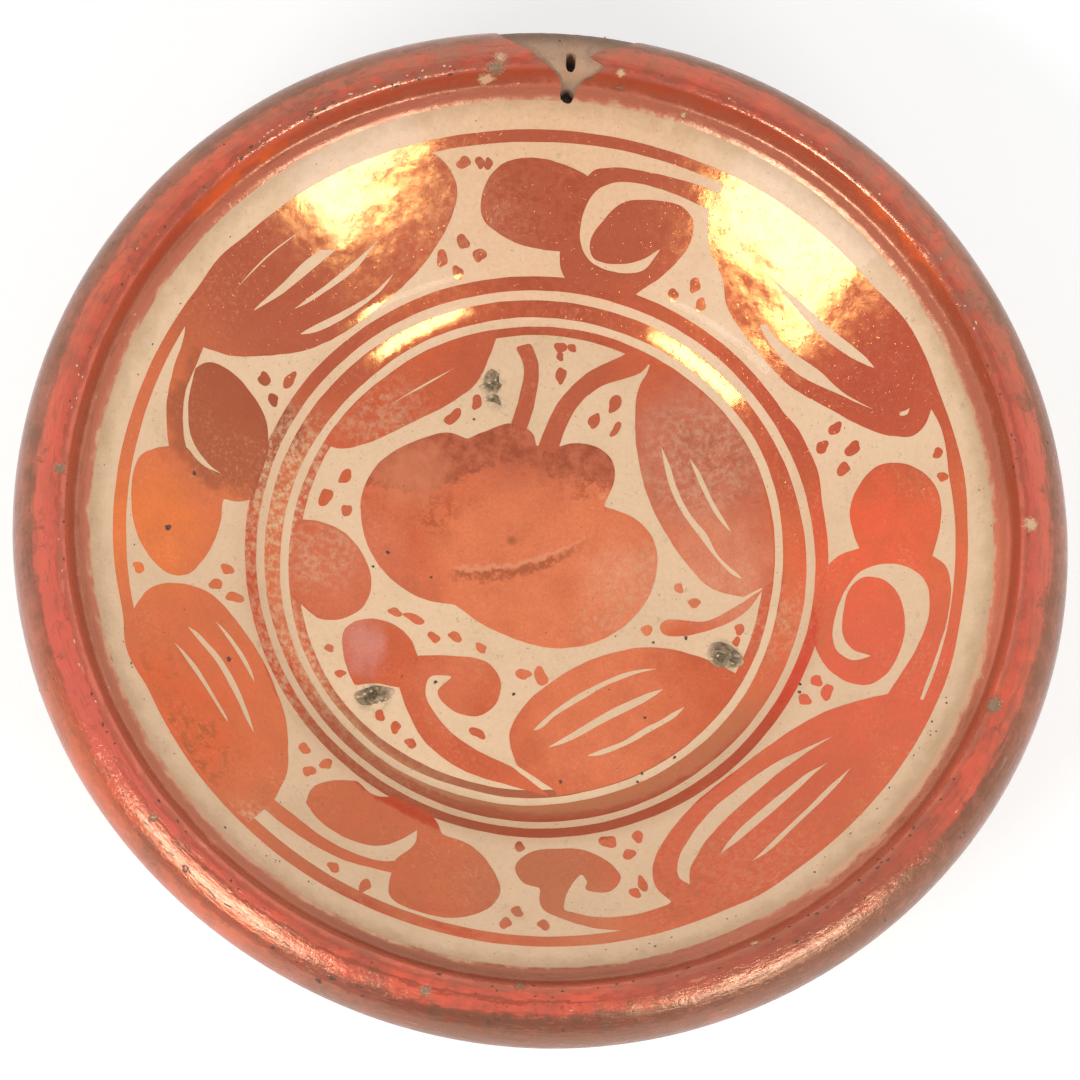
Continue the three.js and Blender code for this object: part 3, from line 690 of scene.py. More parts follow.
def flower_lustre():
    """The flower: dark along its top, orange below a mottled edge, smeared and a little rubbed."""
    g = Graph("flower_lustre")
    worn = [
        (20, 2, 2, 12, 0.3), (16, -9, 2, 10, 0.3), (-25.6, 18.6, 0.5, 1.8, 0.8),
        (10.6, 17.2, 0.4, 1.4, 0.7),
    ]
    paint_lustre(g, FLOOR_TONES, worn, [(-22, 7, 2, 7, 0.5), (8, 20, 3, 9, 0.5)])
    edge_height = g.between(g.x, -30, -6, 8.2, 19.6)
    over = g.less(g.total(g.y, g.swing(3.4, 5, 0.72, seed=27, reach=13)), edge_height)
    top = g.mix(g.patches(0.36, 0.66, 2.6, 5, 0.7, seed=28), (150, 60, 48), (194, 100, 80))
    g.paint(top, g.between(over, -0.5, 0.9), 0.9)
    g.paint((222, 132, 98), g.near(-28, 13, 3, 10, 4), 0.55)
    streak = g.patches(0.56, 0.64, 2.6, 5, 0.7, 0.6, seed=29)
    g.paint((180, 84, 56), streak, g.band(over, -7.5, -3, -2, 1), 0.5)
    g.paint((172, 88, 62), g.near(-5.6, 4, 0.3, 1.7, 1.5))
    # A smear across the middle, along y = -0.2 + 0.6 x + 0.017 x^2, with a pale edge above it
    bend = g.times(g.x, g.total(g.times(g.x, 0.017), 0.6))
    above = g.total(g.less(g.total(g.y, 0.2), bend), g.swing(1.8, 4, reach=4))
    run = g.band(g.x, -17.5, -14, 3, 12)
    blotches = g.patches(0.34, 0.56, 1.3, 4, 0.7, seed=35)
    g.paint((160, 74, 54), g.band(above, -2, -0.9, 0.3, 1.1), run, blotches, 0.8)
    g.paint((234, 160, 128), g.band(above, 0.3, 1.1, 1.3, 2.4), run, 0.5)
    return copper_lustre(g)


# Where the rim's outer edge is rubbed to brown: place, full reach, far reach, strength
RUBBED_EDGE = [
    (16, 108, 18, 46, 0.9), (92, 52, 8, 32, 0.7), (84, -60, 26, 52, 0.95), (-74, 74, 8, 30, 0.8),
    (26, -102, 16, 44, 0.9), (-104, -10, 6, 24, 0.3), (-62, -86, 1, 7, 0.8), (108, -8, 6, 26, 0.55),
]
# Where the band is lost down to the pale glaze, to grey clay or to dark pits
PALE, GREY, BROWN, DARK = (208, 172, 134), (128, 106, 86), (96, 62, 48), (84, 48, 38)
RIM_LOSSES = [
    (-30.6, 88.8, 0.9, 2.1, PALE), (-28.6, 92.9, 0.4, 1.4, PALE), (-29.1, 90.5, 1.1, 2.1, GREY),
    (-4.2, 95.2, 0.3, 1.1, PALE), (-4, 93.6, 0.3, 0.9, GREY), (10.1, 91.2, 0.3, 0.8, PALE),
    (94.9, 19.6, 0.7, 1.7, PALE), (94.5, -18.4, 1, 2, GREY), (-95.7, -12, 0.6, 1.6, GREY),
    (14.8, -93.8, 0.6, 1.5, GREY), (-3, -99.2, 0.5, 1.3, GREY), (57.5, -75.5, 0.5, 1.2, PALE),
    (-77.2, -46.2, 0.4, 1.1, BROWN), (-62, -77.3, 0.3, 1.1, GREY), (-53.8, -85.4, 0.3, 0.8, DARK),
    (-63.4, 71.8, 0.3, 1, BROWN),
]


def rim_lustre():
    """The band over the rim: a dull ledge, a deep inner face, a coral crest and a rubbed outer edge."""
    g = Graph("rim_lustre")
    radius = g.radius
    round_x, round_y = (g.times(g.maths("DIVIDE", value, radius), 14) for value in (g.x, g.y))
    across = g.times(g.less(radius, g.times(g.z, 0.6)), 0.85)
    wheel = g.node("CombineXYZ", {0: round_x, 1: round_y, 2: across})
    streaks = g.noise(1, 5, 0.64, 0.25, seed=6, place=wheel)
    zone = g.total(radius, g.swing(3.2, 5, 0.7, seed=3, reach=2.4), g.times(g.less(streaks, 0.5), 4))

    g.color = g.mix(g.patches(0.3, 0.7, 6, 5, 0.64, seed=1), (218, 88, 68), (168, 78, 64))
    g.paint((212, 92, 80), g.near(-84, -50, 20, 76, 10), 0.7)
    g.paint((208, 90, 80), g.near(96, 24, 10, 40, 10), 0.6)
    g.paint((146, 74, 60), g.near(68, -75, 14, 50, 10), 0.75)
    edge_tone = g.mix(g.patches(0.35, 0.65, 6, 6, 0.7, seed=2), (160, 90, 76), (100, 58, 48))
    edge_tone = g.mix(g.near(-66, -82, 20, 52, 12), edge_tone, (204, 86, 54))
    # Painted shade: the outer edge darkens towards the bottom
    edge_tone = g.mix(g.times(g.near(10, -105, 12, 40, 12), 0.85), edge_tone, (112, 42, 34))
    g.paint(edge_tone, g.between(zone, 100.6, 101.9), 0.92)
    lines = g.most(g.band(zone, 102, 102.5, 103.1, 103.8), g.band(zone, 97.9, 98.3, 98.6, 99.1))
    g.paint((140, 54, 42), lines, g.near(-20, -100, 40, 75, 8), 0.75)
    g.paint((140, 54, 42), g.band(zone, 95.4, 95.9, 96.4, 97), 0.5)
    top = g.most(g.near(-38, 93, 16, 60, 14), g.near(62, 78, 12, 50, 14))
    g.paint((154, 100, 84), top, g.patches(0.4, 0.62, 3, 5, 0.7, seed=43), 0.75)
    # Dark patches on the outer edge at the bottom, spread wider as painted shade
    dark_patches_and_shade = g.times(g.patches(0.47, 0.6, 3.4, 6, 0.75, 0.3, seed=42), g.near(14, -103, 14, 34, 10))
    g.paint((84, 58, 48), dark_patches_and_shade, g.between(zone, 100, 101.4), 0.75)

    inner = g.mix(g.noise(5, 3, seed=39), (172, 70, 44), (148, 62, 44))
    # Painted reflected light: bright orange glow on the inner face at the upper left and upper right
    for x, y in ((-75, 56.5), (57.9, 74.1)):
        inner = g.mix(g.times(g.near(x, y, 3, 19, 6), 0.85), inner, (226, 96, 42))
    g.paint(inner, g.between(radius, 94.5, 95.5, 1, 0))
    g.paint((150, 76, 58), g.between(zone, 93.6, 94.6, 1, 0), 0.8)
    g.paint((184, 98, 76), g.between(zone, 92.6, 93.5, 1, 0), 0.85)
    ledge = g.between(radius, 94, 93.4)
    # Painted shade: the ledge darkens towards the bottom
    g.paint((124, 54, 38), g.near(10, -92, 20, 54, 8), ledge, 0.55)
    # Painted reflection: the ledge is lighter on the right
    g.paint((226, 112, 84), g.near(91, 6, 8, 30, 8), ledge, 0.5)
    reach = g.less(zone, g.times(g.near(84, -34, 22, 44), 1.3))
    g.paint((212, 174, 138), g.between(reach, 89.8, 91, 1, 0), 0.8)

    rubbed = g.between(streaks, 0.52, 0.62)
    g.paint((142, 76, 62), rubbed, g.between(zone, 94.5, 97), 0.5)
    brown = g.mix(g.noise(2, 5, 0.7, seed=22), (128, 74, 58), (80, 47, 38))
    worn = [g.times(g.patches(0.46, 0.56, 6, 6, 0.7, seed=38), 0.35)]
    worn += [g.times(g.near(*place, 16), strength) for *place, strength in RUBBED_EDGE]
    patchy = g.patches(0.4, 0.58, 2.4, 6, 0.75, 0.3, seed=44, low=0.35)
    worn = g.times(g.most(*worn), g.between(zone, 100.6, 101.5), patchy)
    g.paint(brown, worn)
    g.paint(brown, g.patches(0.56, 0.63, 5.5, 6, 0.72, 0.3, seed=37), g.between(zone, 96, 99), 0.55)
    g.paint((226, 150, 124), g.patches(0.64, 0.72, 0.8, 4, 0.6, seed=18, place=wheel), 0.4)
    pits = g.patches(0.66, 0.71, 1.3, 6, 0.75, seed=17)
    g.paint((104, 66, 50), pits, 0.7)
    losses = [(tone, g.touching(*place)) for *place, tone in RIM_LOSSES]
    for tone, spot in losses:
        g.paint(tone, spot)
    chipped = g.most(*(spot for _, spot in losses))

    roughness = g.total(
        g.patches(0.3, 0.7, 2.4, 5, 0.66, seed=4, low=0.07, high=0.16),
        g.times(g.near(-48, -90, 20, 50, 8), 0.07), g.times(g.near(72, -70, 20, 40, 8), 0.06),
        g.between(radius, 93.6, 94.2, 0.14, 0), g.times(rubbed, 0.06), g.times(g.most(worn, chipped), 0.14),
    )
    dents = g.noise(2, 4, 0.62, seed=13)
    bumps = [(g.noise(7, 2, 0.5), 0.2), (streaks, 0.18), (dents, 0.16), (pits, -0.12), (chipped, -0.2)]
    copper = {"IOR": 2.2, "Specular_Tint": (1, 0.58, 0.34, 1), "Coat_Weight": 0.1, "Coat_Roughness": 0.07}
    return g.finish(roughness, g.bump(*bumps), **copper)


def fired_clay():
    g = Graph("fired_clay")
    g.color = g.mix(g.noise(5, 4), (196, 156, 124), (162, 128, 104))
    g.paint((142, 114, 94), g.patches(0.5, 0.7, 2.4, 5, 0.7, seed=2), 0.45)
    g.paint((116, 88, 70), g.between(g.radius, 99, 103), g.between(g.z, 36, 38), 0.75)
    # Painted shade: the bare clay darkens lower down inside the wire holes
    g.paint((74, 52, 40), g.between(g.z, 38, 43.5, 0.75, 0), g.between(g.radius, 88, 89))
    grit = g.patches(0.6, 0.72, 0.5, 2, 0.5, seed=5)
    g.paint((214, 188, 162), grit, 0.4)
    roughness = g.patches(0.3, 0.7, 3, seed=4, low=0.6, high=0.85)
    return g.finish(roughness, g.bump((g.noise(1.2, 4, 0.6, seed=7), 0.1), (grit, 0.03)), IOR=1.5)


def scar_clay():
    """Clay and ash left by a kiln prop, ragged where it runs out into the glaze."""
    g = Graph("kiln_scar")
    paint_cream(g)
    dark = g.mix(g.patches(0.4, 0.6, 1, 4, 0.7), (136, 116, 84), (80, 66, 46))
    g.paint(dark, prop_spots(g, wider=1.1), g.patches(0.32, 0.5, 1.1, 5, 0.72, seed=2, low=0.25))
    roughness = g.patches(0.3, 0.7, 1, seed=4, low=0.4, high=0.7)
    return g.finish(roughness, g.bump((g.noise(0.9, 5, 0.7, seed=7), 0.3)), IOR=1.5)


def mottled(name, first, second, size=0.8):
    """A small mark of two colours in ragged patches."""
    g = Graph(name)
    g.color = g.mix(g.patches(0.4, 0.6, size, 5, 0.7), first, second)
    return g.finish(g.patches(0.3, 0.7, 1, seed=4, low=0.35, high=0.55), glaze_relief(g), IOR=1.5)


GLAZE_MATERIAL = tin_glaze()
CLAY_MATERIAL = fired_clay()
RIM_MATERIAL = rim_lustre()
BORDER_MATERIAL = lustre(
    "border_lustre", BORDER_TONES,
    worn_spots=[(-44, -72, 1, 8, 0.7), (-30, 60, 4, 24, 0.2), (52, -56, 4, 24, 0.15)],
    dark_spots=[
        (-60, -60, 5, 15, 0.75), (-68, -44, 2, 8, 0.5), (40, -64, 4, 16, 0.4), (-14, 76, 6, 20, 0.45),
    ],
    brown_spots=[(14, -68, 6, 20, 0.4)],
)
FLOOR_MATERIAL = lustre(
    "floor_lustre", FLOOR_TONES,
    worn_spots=[(-38, 24, 3, 14, 0.45), (28, 30, 6, 18, 0.4), (40, 4, 2, 10, 0.3), (-43, -8, 3, 11, 0.45)],
    dark_spots=[(34, 30, 4, 14, 0.4)],
)
FLOWER_MATERIAL = flower_lustre()
LINE_MATERIAL = lustre(
    "line_lustre", BORDER_TONES,
    worn_spots=[(-44, -38, 8, 30, 0.85), (-54, 0, 9, 26, 0.9), (-20, -50, 6, 26, 0.6), (50, -2, 2, 12, 0.4)],
    dark_spots=[(-10, 58, 10, 30, 0.3)],
    # Brown on the lines along the near side is painted shade, where they slope away from the lamps
    brown_spots=[(-20, -54, 14, 34, 0.7), (16, -54, 12, 30, 0.65), (44, -36, 8, 24, 0.5)],
)
SCAR_MATERIAL = scar_clay()
SPECK_MATERIAL = mottled("iron_specks", (112, 72, 54), (70, 48, 38), size=0.4)
# Pale marks: painted glints along the rim, and small worn losses
GLINT_AND_LOSS_MATERIAL = mottled("pale_losses", (222, 192, 156), (196, 156, 118))


# Wire holes and the worn patch
def prism(name, loop, low, high):
    """An upright tool between two heights. Each height is a number or one number a corner."""
    x, y = loop.T
    if np.sum(x * np.roll(y, -1) - y * np.roll(x, -1)) < 0:
        loop = loop[::-1]
    count = len(loop)
    low, high = np.broadcast_to(low, count), np.broadcast_to(high, count)
    points = np.vstack([np.column_stack([loop, low]), np.column_stack([loop, high])])
    centre = loop.mean(0)
    points = np.vstack([points, [*centre, low.mean()], [*centre, high.mean()]])
    faces = []
    for i in range(count):
        j = (i + 1) % count
        faces += [(i, j, count + j, count + i), (2 * count, j, i), (2 * count + 1, count + i, count + j)]
    return new_object(name, points, faces)


# How far a hole's lower end leans towards the bowl's axis, as run over rise from a height in metres
HOLE_LEAN, LEAN_HEIGHT = 0.15, 0.042
TOOL_TOP = 60


def wire_hole(name, radius, aside, width, length, low):
    """A leaning tool for an uneven hole with round ends along the direction of the holes."""
    turn = np.linspace(0, 2 * math.pi, 36, endpoint=False)
    uneven = 1 + 0.06 * (np.sin(2 * turn + 0.7) + 0.6 * np.sin(5 * turn + 2))
    along = np.sign(np.cos(turn)) * (length - width) / 2 + width / 2 * np.cos(turn) * uneven
    across = width / 2 * np.sin(turn) * uneven
    tool = prism(name, by_hole(np.stack([radius + along, aside + across], 1)), low, TOOL_TOP)
    toward = Vector((math.cos(HOLE_ANGLE), math.sin(HOLE_ANGLE), 0))
    for vertex in tool.data.vertices:
        vertex.co -= toward * HOLE_LEAN * (LEAN_HEIGHT - vertex.co.z)
    return tool


lower_hole = wire_hole("lower_hole", 91.3, 0, 2.9, 2.9, 10)
upper_slot = wire_hole("upper_slot", 96.6, -0.2, 2.1, 3.9, -5)
# Runs of distances from the axis and to the left of the holes
worn_runs = [
    (89.6, 0.3),
    (90.4, 1.4, 92.2, 1.3, 93.6, 1.6, 95.2, 3.8, 97, 6.6, 99.1, 9.7, 100.8, 12.8, 102.6, 14.8,
     104.4, 17.2), (114, 19), (114, -19),
    (104.6, -15.4, 102.8, -13.4, 101.2, -10.2, 99.8, -7.2, 98.4, -4.9),
    (97.4, -4.0, 96.4, -6.4, 95.2, -7.0, 94.3, -5.6, 93.6, -3.2, 92.8, -2.1, 90.8, -1.7, 89.6, 0.3),
]
worn_loop = outline(worn_runs, by_hole, unsteady=0.3)
ragged = 37.2 + 0.7 * np.sin(np.arange(len(worn_loop)) * 0.9) * chance.uniform(0.4, 1, len(worn_loop))
worn_tool = prism("worn_tool", worn_loop, ragged, TOOL_TOP)


def worn_clay(points):
    """The wire's channel, the bite in the crest and the rubbed hollow in the bare clay."""
    x, y, z = points.T
    c, s = math.cos(HOLE_ANGLE), math.sin(HOLE_ANGLE)
    out, aside = x * c + y * s, y * c - x * s
    top = smooth_step(z, 34, 38) * (out > 0)
    channel = np.exp(-((aside + 0.1) / 1.5) ** 2) * smooth_step(out, 90, 93)
    channel *= 1 - smooth_step(out, 98, 103)
    hollow = np.exp(-(aside / 7.5) ** 2) * smooth_step(out, 92.5, 96) * (1 - smooth_step(out, 98, 103))
    grain = np.sin(x * 2.1 + 0.4) * np.sin(y * 2.6) * 0.07
    near = np.exp(-(aside / 16) ** 4) * smooth_step(out, 89.5, 91)
    z = z - top * (0.75 * channel + 0.7 * hollow + near * grain)
    full = 1 + top * near * smooth_step(out, 100, 103.5) * 0.3 / np.maximum(out, 1)
    return np.stack([x * full, y * full, z], 1)


def underside(corners):
    """A line under the floor that ends on the axis."""
    line = filled(rounded(corners), 1.6)
    line[-1, 0] = 0
    return line


foot_and_recess = underside([
    (46.5, BARE_FOOT, 0), (46.1, 0, 0.7), (39, 0, 0.8), (38.5, 3.8, 0), (38.5, 5, 1.4), (0, 5.45, 0),
])
clay_line = lifted(slice(0, len(surface)), -GLAZE)
clay_line[0, 0] = 0
body = revolved("fired_clay", np.vstack([clay_line[:-1], foot_and_recess]), worn_clay)
cut(body, lower_hole, upper_slot)
dressed(crisp(body), CLAY_MATERIAL, ["clay_body"])


def coat(name, rows, top, bottom):
    """A coat between two distances off the surface, along some of its rows."""
    upper, under = lifted(rows, top), lifted(rows, bottom)
    if rows.start == 0:
        upper[0, 0] = under[0, 0] = 0
    made = revolved(name, np.vstack([upper, under[::-1]]))
    return crisp(cut(made, lower_hole, upper_slot, worn_tool))


BOND = 0.02
for side, rows in (("inside", slice(0, crest_row + 1)), ("outside", slice(crest_row, len(surface)))):
    glaze = coat(f"glaze_{side}_coat", rows, 0, BOND - GLAZE)
    dressed(glaze, GLAZE_MATERIAL, ["glaze_" + side])

recess = underside([(38.1, BARE_FOOT, 0), (38.1, 4.98, 1.4), (0, 4.98, 0)])
recess_clear = recess + air_side(recess) * (BOND - GLAZE)
recess_clear[-1, 0] = 0
recess_glaze = revolved("glaze_recess_coat", np.vstack([recess_clear[::-1], recess]))
dressed(crisp(recess_glaze), GLAZE_MATERIAL, ["glaze_recess"])

RIM_BAND_START, RIM_BAND_END = 90.0, 103.4
band_start = int(np.argmax(surface[:, 0] > RIM_BAND_START))
band_end = widest_row + int(np.argmax(surface[widest_row:, 0] < RIM_BAND_END))
rim_band = coat("lustre_rim_band", slice(band_start, band_end), 0.06, -0.1)
dressed(rim_band, RIM_MATERIAL, ["rim_band"])
for tool in (lower_hole, upper_slot, worn_tool):
    bpy.data.objects.remove(tool)

# Painted lines. The cream line between the two inner ones wanders a little.
cream_ring = around([
    (0, 49.5), (45, 51.5), (90, 51.4), (125, 51), (143, 50.5), (180, 50.9), (220, 51.7), (245, 51.6),
    (270, 50.6), (300, 49.9), (325, 49.8),
])
inner_edge = around([
    (0, 46.6), (50, 48.9), (90, 48.7), (130, 48.2), (180, 48.1), (225, 49.1), (270, 48.1), (320, 47.1),
])
outer_edge = around([(0, 59.3), (22, 59.3), (30, 60.2), (38, 60.1), (44, 59.3), (200, 59.2)])
line_inside = around([(0, 83.1), (20, 83.4), (27, 84.2), (34, 83.2), (180, 83.1), (287, 82.7), (330, 82.8)])
line_outside = around([
    (0, 85.3), (12, 85.6), (20, 86.2), (30, 86), (42, 86.7), (52, 85.5), (90, 85.2), (146, 85.2),
    (151, 85.7), (157, 85.2), (192, 85.6), (204, 85.4), (210, 86.7), (216, 85.4), (247, 85.7), (262, 85.2),
    (306, 85.2), (312, 85.7), (320, 85.2), (352, 85.7),
])
CREAM_HALF = 0.85
LINE_LIFT, LINE_STEP = 0.034, 0.002
line_edges = {
    "well_line_inner": (inner_edge, lambda at: cream_ring(at) - CREAM_HALF),
    "well_line_middle": (lambda at: cream_ring(at) + CREAM_HALF, lambda at: 55.2 + 0 * at),
    "well_line_outer": (lambda at: 56.9 + 0 * at, outer_edge),
    "border_line": (line_inside, line_outside),
}
for i, (name, (inner, outer)) in enumerate(line_edges.items()):
    line = ring_film("lustre_" + name, inner, outer, top=LINE_LIFT + LINE_STEP * i)
    dressed(line, LINE_MATERIAL, [name])

# The border's painting. A run is a row of degrees and shares, one pair after another.
BORDER = {
    "leaf_upper_right": [
        (28.3, 0.82, 29, 0.93, 31.5, 1.06), edge(33, 75.2), (75.6, 0.78),
        (73, 0.55, 68.5, 0.4, 65, 0.24, 60, 0.165, 53, 0.13, 47, 0.15, 40, 0.29, 34, 0.46, 30.5, 0.61,
         28.8, 0.74),
    ],
    "leaf_upper_left": [
        edge(120, 161), (162.6, 0.82),
        (160.5, 0.58, 157, 0.38, 152, 0.19, 147, 0.09, 141, 0.05, 134, 0.07, 127, 0.145, 121, 0.29,
         117.3, 0.45, 115, 0.64, 114.8, 0.77, 116, 0.92, 119, 1.06),
    ],
    "leaf_lower_left": [
        edge(207, 238.4), (238.2, 0.74),
        (235.5, 0.43, 232, 0.27, 227.5, 0.13, 222, 0.055, 216, 0.035, 210, 0.085, 205, 0.19, 201.5, 0.32,
         200.1, 0.48, 199.9, 0.66, 201, 0.84, 203.2, 0.96, 205.5, 1.06),
    ],
    "leaf_lower_right": [
        edge(346, 299.8), (299.8, 0.85), (301, 0.835),
        (300, 0.72, 299.7, 0.6, 300.5, 0.47, 303, 0.32, 307, 0.185, 312, 0.085, 318, 0.035, 325, 0.045,
         331, 0.09, 337, 0.18, 342.5, 0.35, 346, 0.56, 347.8, 0.72), (348, 1.05),
    ],
    "scroll_top": [
        (74, 0.94), (80, 0.925, 86, 0.895, 91, 0.872, 94, 0.82, 95.2, 0.73), (97.8, 0.2),
        (97.2, 0.06, 95.5, -0.03), (82.5, -0.03),
        (80.5, 0.07, 78.3, 0.2, 76.8, 0.36, 76.2, 0.52, 77, 0.66, 79.5, 0.735, 84, 0.71, 88.5, 0.64,
         91, 0.48, 92.6, 0.3, 91.5, 0.18, 87, 0.18, 83, 0.26, 80.4, 0.39),
        (82, 0.19, 85, 0.13, 88.5, 0.115, 92, 0.155, 94.3, 0.27, 94.6, 0.48, 93.3, 0.66, 90.5, 0.765,
         86, 0.8, 80, 0.805, 74, 0.8),
    ],
    "scroll_right": [
        (346.4, 0.975), (354, 0.97, 361, 0.99, 365, 0.98, 368, 0.93, 370.2, 0.8), (372.7, 0.25),
        (372, 0.1, 369.5, -0.03), (355, -0.03),
        (352, 0.05, 349.5, 0.17, 348, 0.36, 348.5, 0.54, 350.7, 0.635, 355, 0.68, 360, 0.66, 364, 0.58,
         366.5, 0.46, 367.3, 0.29, 365.5, 0.19, 361, 0.165, 356.5, 0.2, 354, 0.3, 353.3, 0.48),
        (352, 0.33, 353.5, 0.18, 357, 0.11, 361, 0.105, 365.5, 0.16, 368.5, 0.27, 369.4, 0.45,
         368.2, 0.65, 365.5, 0.79, 361, 0.84, 355, 0.8, 346.4, 0.7),
    ],
    "scroll_bottom_right": [
        (301, 1.03), (301, 0.85), (295, 0.86, 290, 0.82, 285.3, 0.73),
        (285.6, 0.62, 287, 0.48, 289, 0.38), (289.8, 0.47),
        (289.1, 0.53, 290.6, 0.58, 293, 0.59, 295.2, 0.48, 293.6, 0.29, 290, 0.155, 285.5, 0.12,
         280.5, 0.155, 277.8, 0.3, 279.2, 0.46, 282, 0.5), (282.1, 0.7, 285, 0.81, 289, 0.92, 295, 1.03),
    ],
    "stem_left": [
        (160, 1.06), (162.9, 0.97, 168, 0.915, 173, 0.855, 179.6, 0.72), (178.5, 0.58),
        (175, 0.67, 170, 0.755, 161, 0.81), (159, 1.06),
    ],
    "stem_bottom": [
        (237.4, 0.86), (245, 0.83, 252, 0.78, 260.4, 0.66), (259.6, 0.53),
        (255.5, 0.64, 249, 0.7, 237.4, 0.725),
    ],
    "fruit_right": [
        (9.4, 0.82),
        (13, 0.88, 18, 0.92, 22, 0.85, 25, 0.68, 26, 0.5, 24, 0.32, 20, 0.21, 16, 0.21, 12, 0.26),
    ],
    "fruit_top": [
        (94.6, 0.78),
        (98, 0.84, 103, 0.885, 108, 0.83, 110.8, 0.66, 111.4, 0.47, 107.5, 0.29, 103, 0.215, 97.2, 0.2),
    ],
    "fruit_left": [
        (178.2, 0.72),
        (179.9, 0.86, 182, 0.96, 188, 0.965, 194, 0.88, 198.3, 0.67, 198.3, 0.5, 195, 0.345, 189, 0.225,
         183.5, 0.22), (183.2, 0.1, 181.5, -0.03), (179, -0.03),
        (179, 0.19, 179.4, 0.33, 179, 0.46, 177.4, 0.6),
    ],
    "fruit_bottom": [
        (258.8, 0.66),
        (259.3, 0.8, 260.3, 0.91, 265, 0.95, 270, 0.905, 274.5, 0.73, 275.7, 0.56, 274, 0.36,
         269.5, 0.165, 264, 0.14), (262.8, 0.06, 260.5, -0.03), (258.3, -0.03),
        (259.4, 0.17, 260.2, 0.32, 258.4, 0.55),
    ],
    "seed_left": [
        (165.8, 0.775), (163.6, 0.7, 162.7, 0.52, 163.5, 0.3, 166, 0.1, 170.5, -0.03), (180, -0.03),
        (179.6, 0.19), (178.4, 0.4, 175.5, 0.59, 171, 0.7, 165.8, 0.775),
    ],
    "bud_bottom": [
        (241.5, 0.54), (245, 0.59, 250, 0.58, 254.5, 0.51, 257.3, 0.37, 259.6, 0.18), (259, -0.03),
        (253, -0.03), (249.5, 0.075, 245, 0.05), (241.4, 0.23, 240.4, 0.38, 241.5, 0.54),
    ],
}
# The floor's painting. A run is a row of places in millimetres from the middle.
FLOOR = {
    "flower": [
        (-19, 22.9), (-15.5, 25.6, -11.3, 28.1, -7.8, 28, -6, 27, -4.9, 24.6), (-0.7, 25.3),
        (3.5, 27.1, 8, 27, 11.3, 24.8, 12.3, 21, 11.3, 15.2),
        (18, 14, 23, 9.8, 24.7, 3.5, 23.6, -3.5, 20, -9.6, 14, -14.3, 7, -16.6, -1, -16.3, -8, -14.8,
         -14, -12),
        (-20, -12.4, -27, -10.1, -33, -5.3, -36.6, 1.5, -37.5, 7.5, -35.3, 14, -29.5, 19.8, -23, 23.3,
         -19, 22.9),
    ],
    "flower_stem_left": [
        (-11, 27), (-10.3, 35, -10.8, 40.5, -13.4, 44.3), (-10.5, 45.7), (-7.9, 41.5, -7, 34, -7.6, 27),
    ],
    "flower_stem_right": [
        (-4.6, 24), (-2.6, 34, 2.5, 42.4, 8.8, 47.5, 11, 50), (14.6, 50),
        (13.6, 45.4, 5, 39.5, 1.3, 34, -0.5, 24),
    ],
    "floor_leaf_upper_left": [
        (-17.2, 50), (-18.1, 42, -19.5, 35.3, -24, 29.4, -31, 23.5, -38, 17.8, -44, 14.8, -50, 15.5),
        (-34, 42),
    ],
    "floor_leaf_upper_right": [
        (14.9, 50), (14.2, 44.6), (13.1, 41, 14.2, 33, 18.7, 21, 25, 12, 31, 6.3, 36.5, 2.7, 43, 2.3),
        (46.6, 5.2), (50, 8), (38, 37),
    ],
    "floor_leaf_lower_right": [
        (48, -15.4), (44.8, -14),
        (38.5, -12.3, 31, -11.6, 24, -12.9, 16, -17, 9, -23, 4, -30, 2.4, -36.5, 5.2, -42.5),
        (13.8, -46.1), (15, -48.6), (40, -33),
    ],
    "floor_bud_left": [
        (-49.5, -2), (-45.5, -1.2),
        (-40.5, -1.9, -35, -5.6, -31.6, -11.5, -32.3, -17, -36, -20.5, -40.5, -21.4, -44.6, -19.2),
        (-48, -18),
    ],
    "floor_bud_lower_left": [
        (-18.6, -25.4),
        (-21.5, -21.2, -26, -18.8, -31.5, -19.3, -34.8, -22.3, -33.6, -28.5, -30.3, -33.5),
        (-26.5, -32, -21, -31.8),
    ],
    "floor_scroll": [
        (-19.4, -24.4),
        (-12.5, -22.8, -5, -22.5, -1.6, -26, -1.8, -31, -5, -34.2, -10, -34, -13.7, -31, -11.3, -27),
        (-15.8, -28.2, -16, -32, -12, -36.7, -5.5, -40.5, 4.6, -43.1), (13, -47.5),
        (4, -46.9, -6, -45.8, -14, -41.8, -18.7, -36.3, -22, -30.6),
    ],
    "floor_stroke": [
        (46.8, 5), (43.4, 1.3),
        (36.5, -4.3, 28.6, -5.8, 27.6, -7.3, 29, -8.9, 37, -6.5, 43.5, -1.5, 46.8, 5),
    ],
}
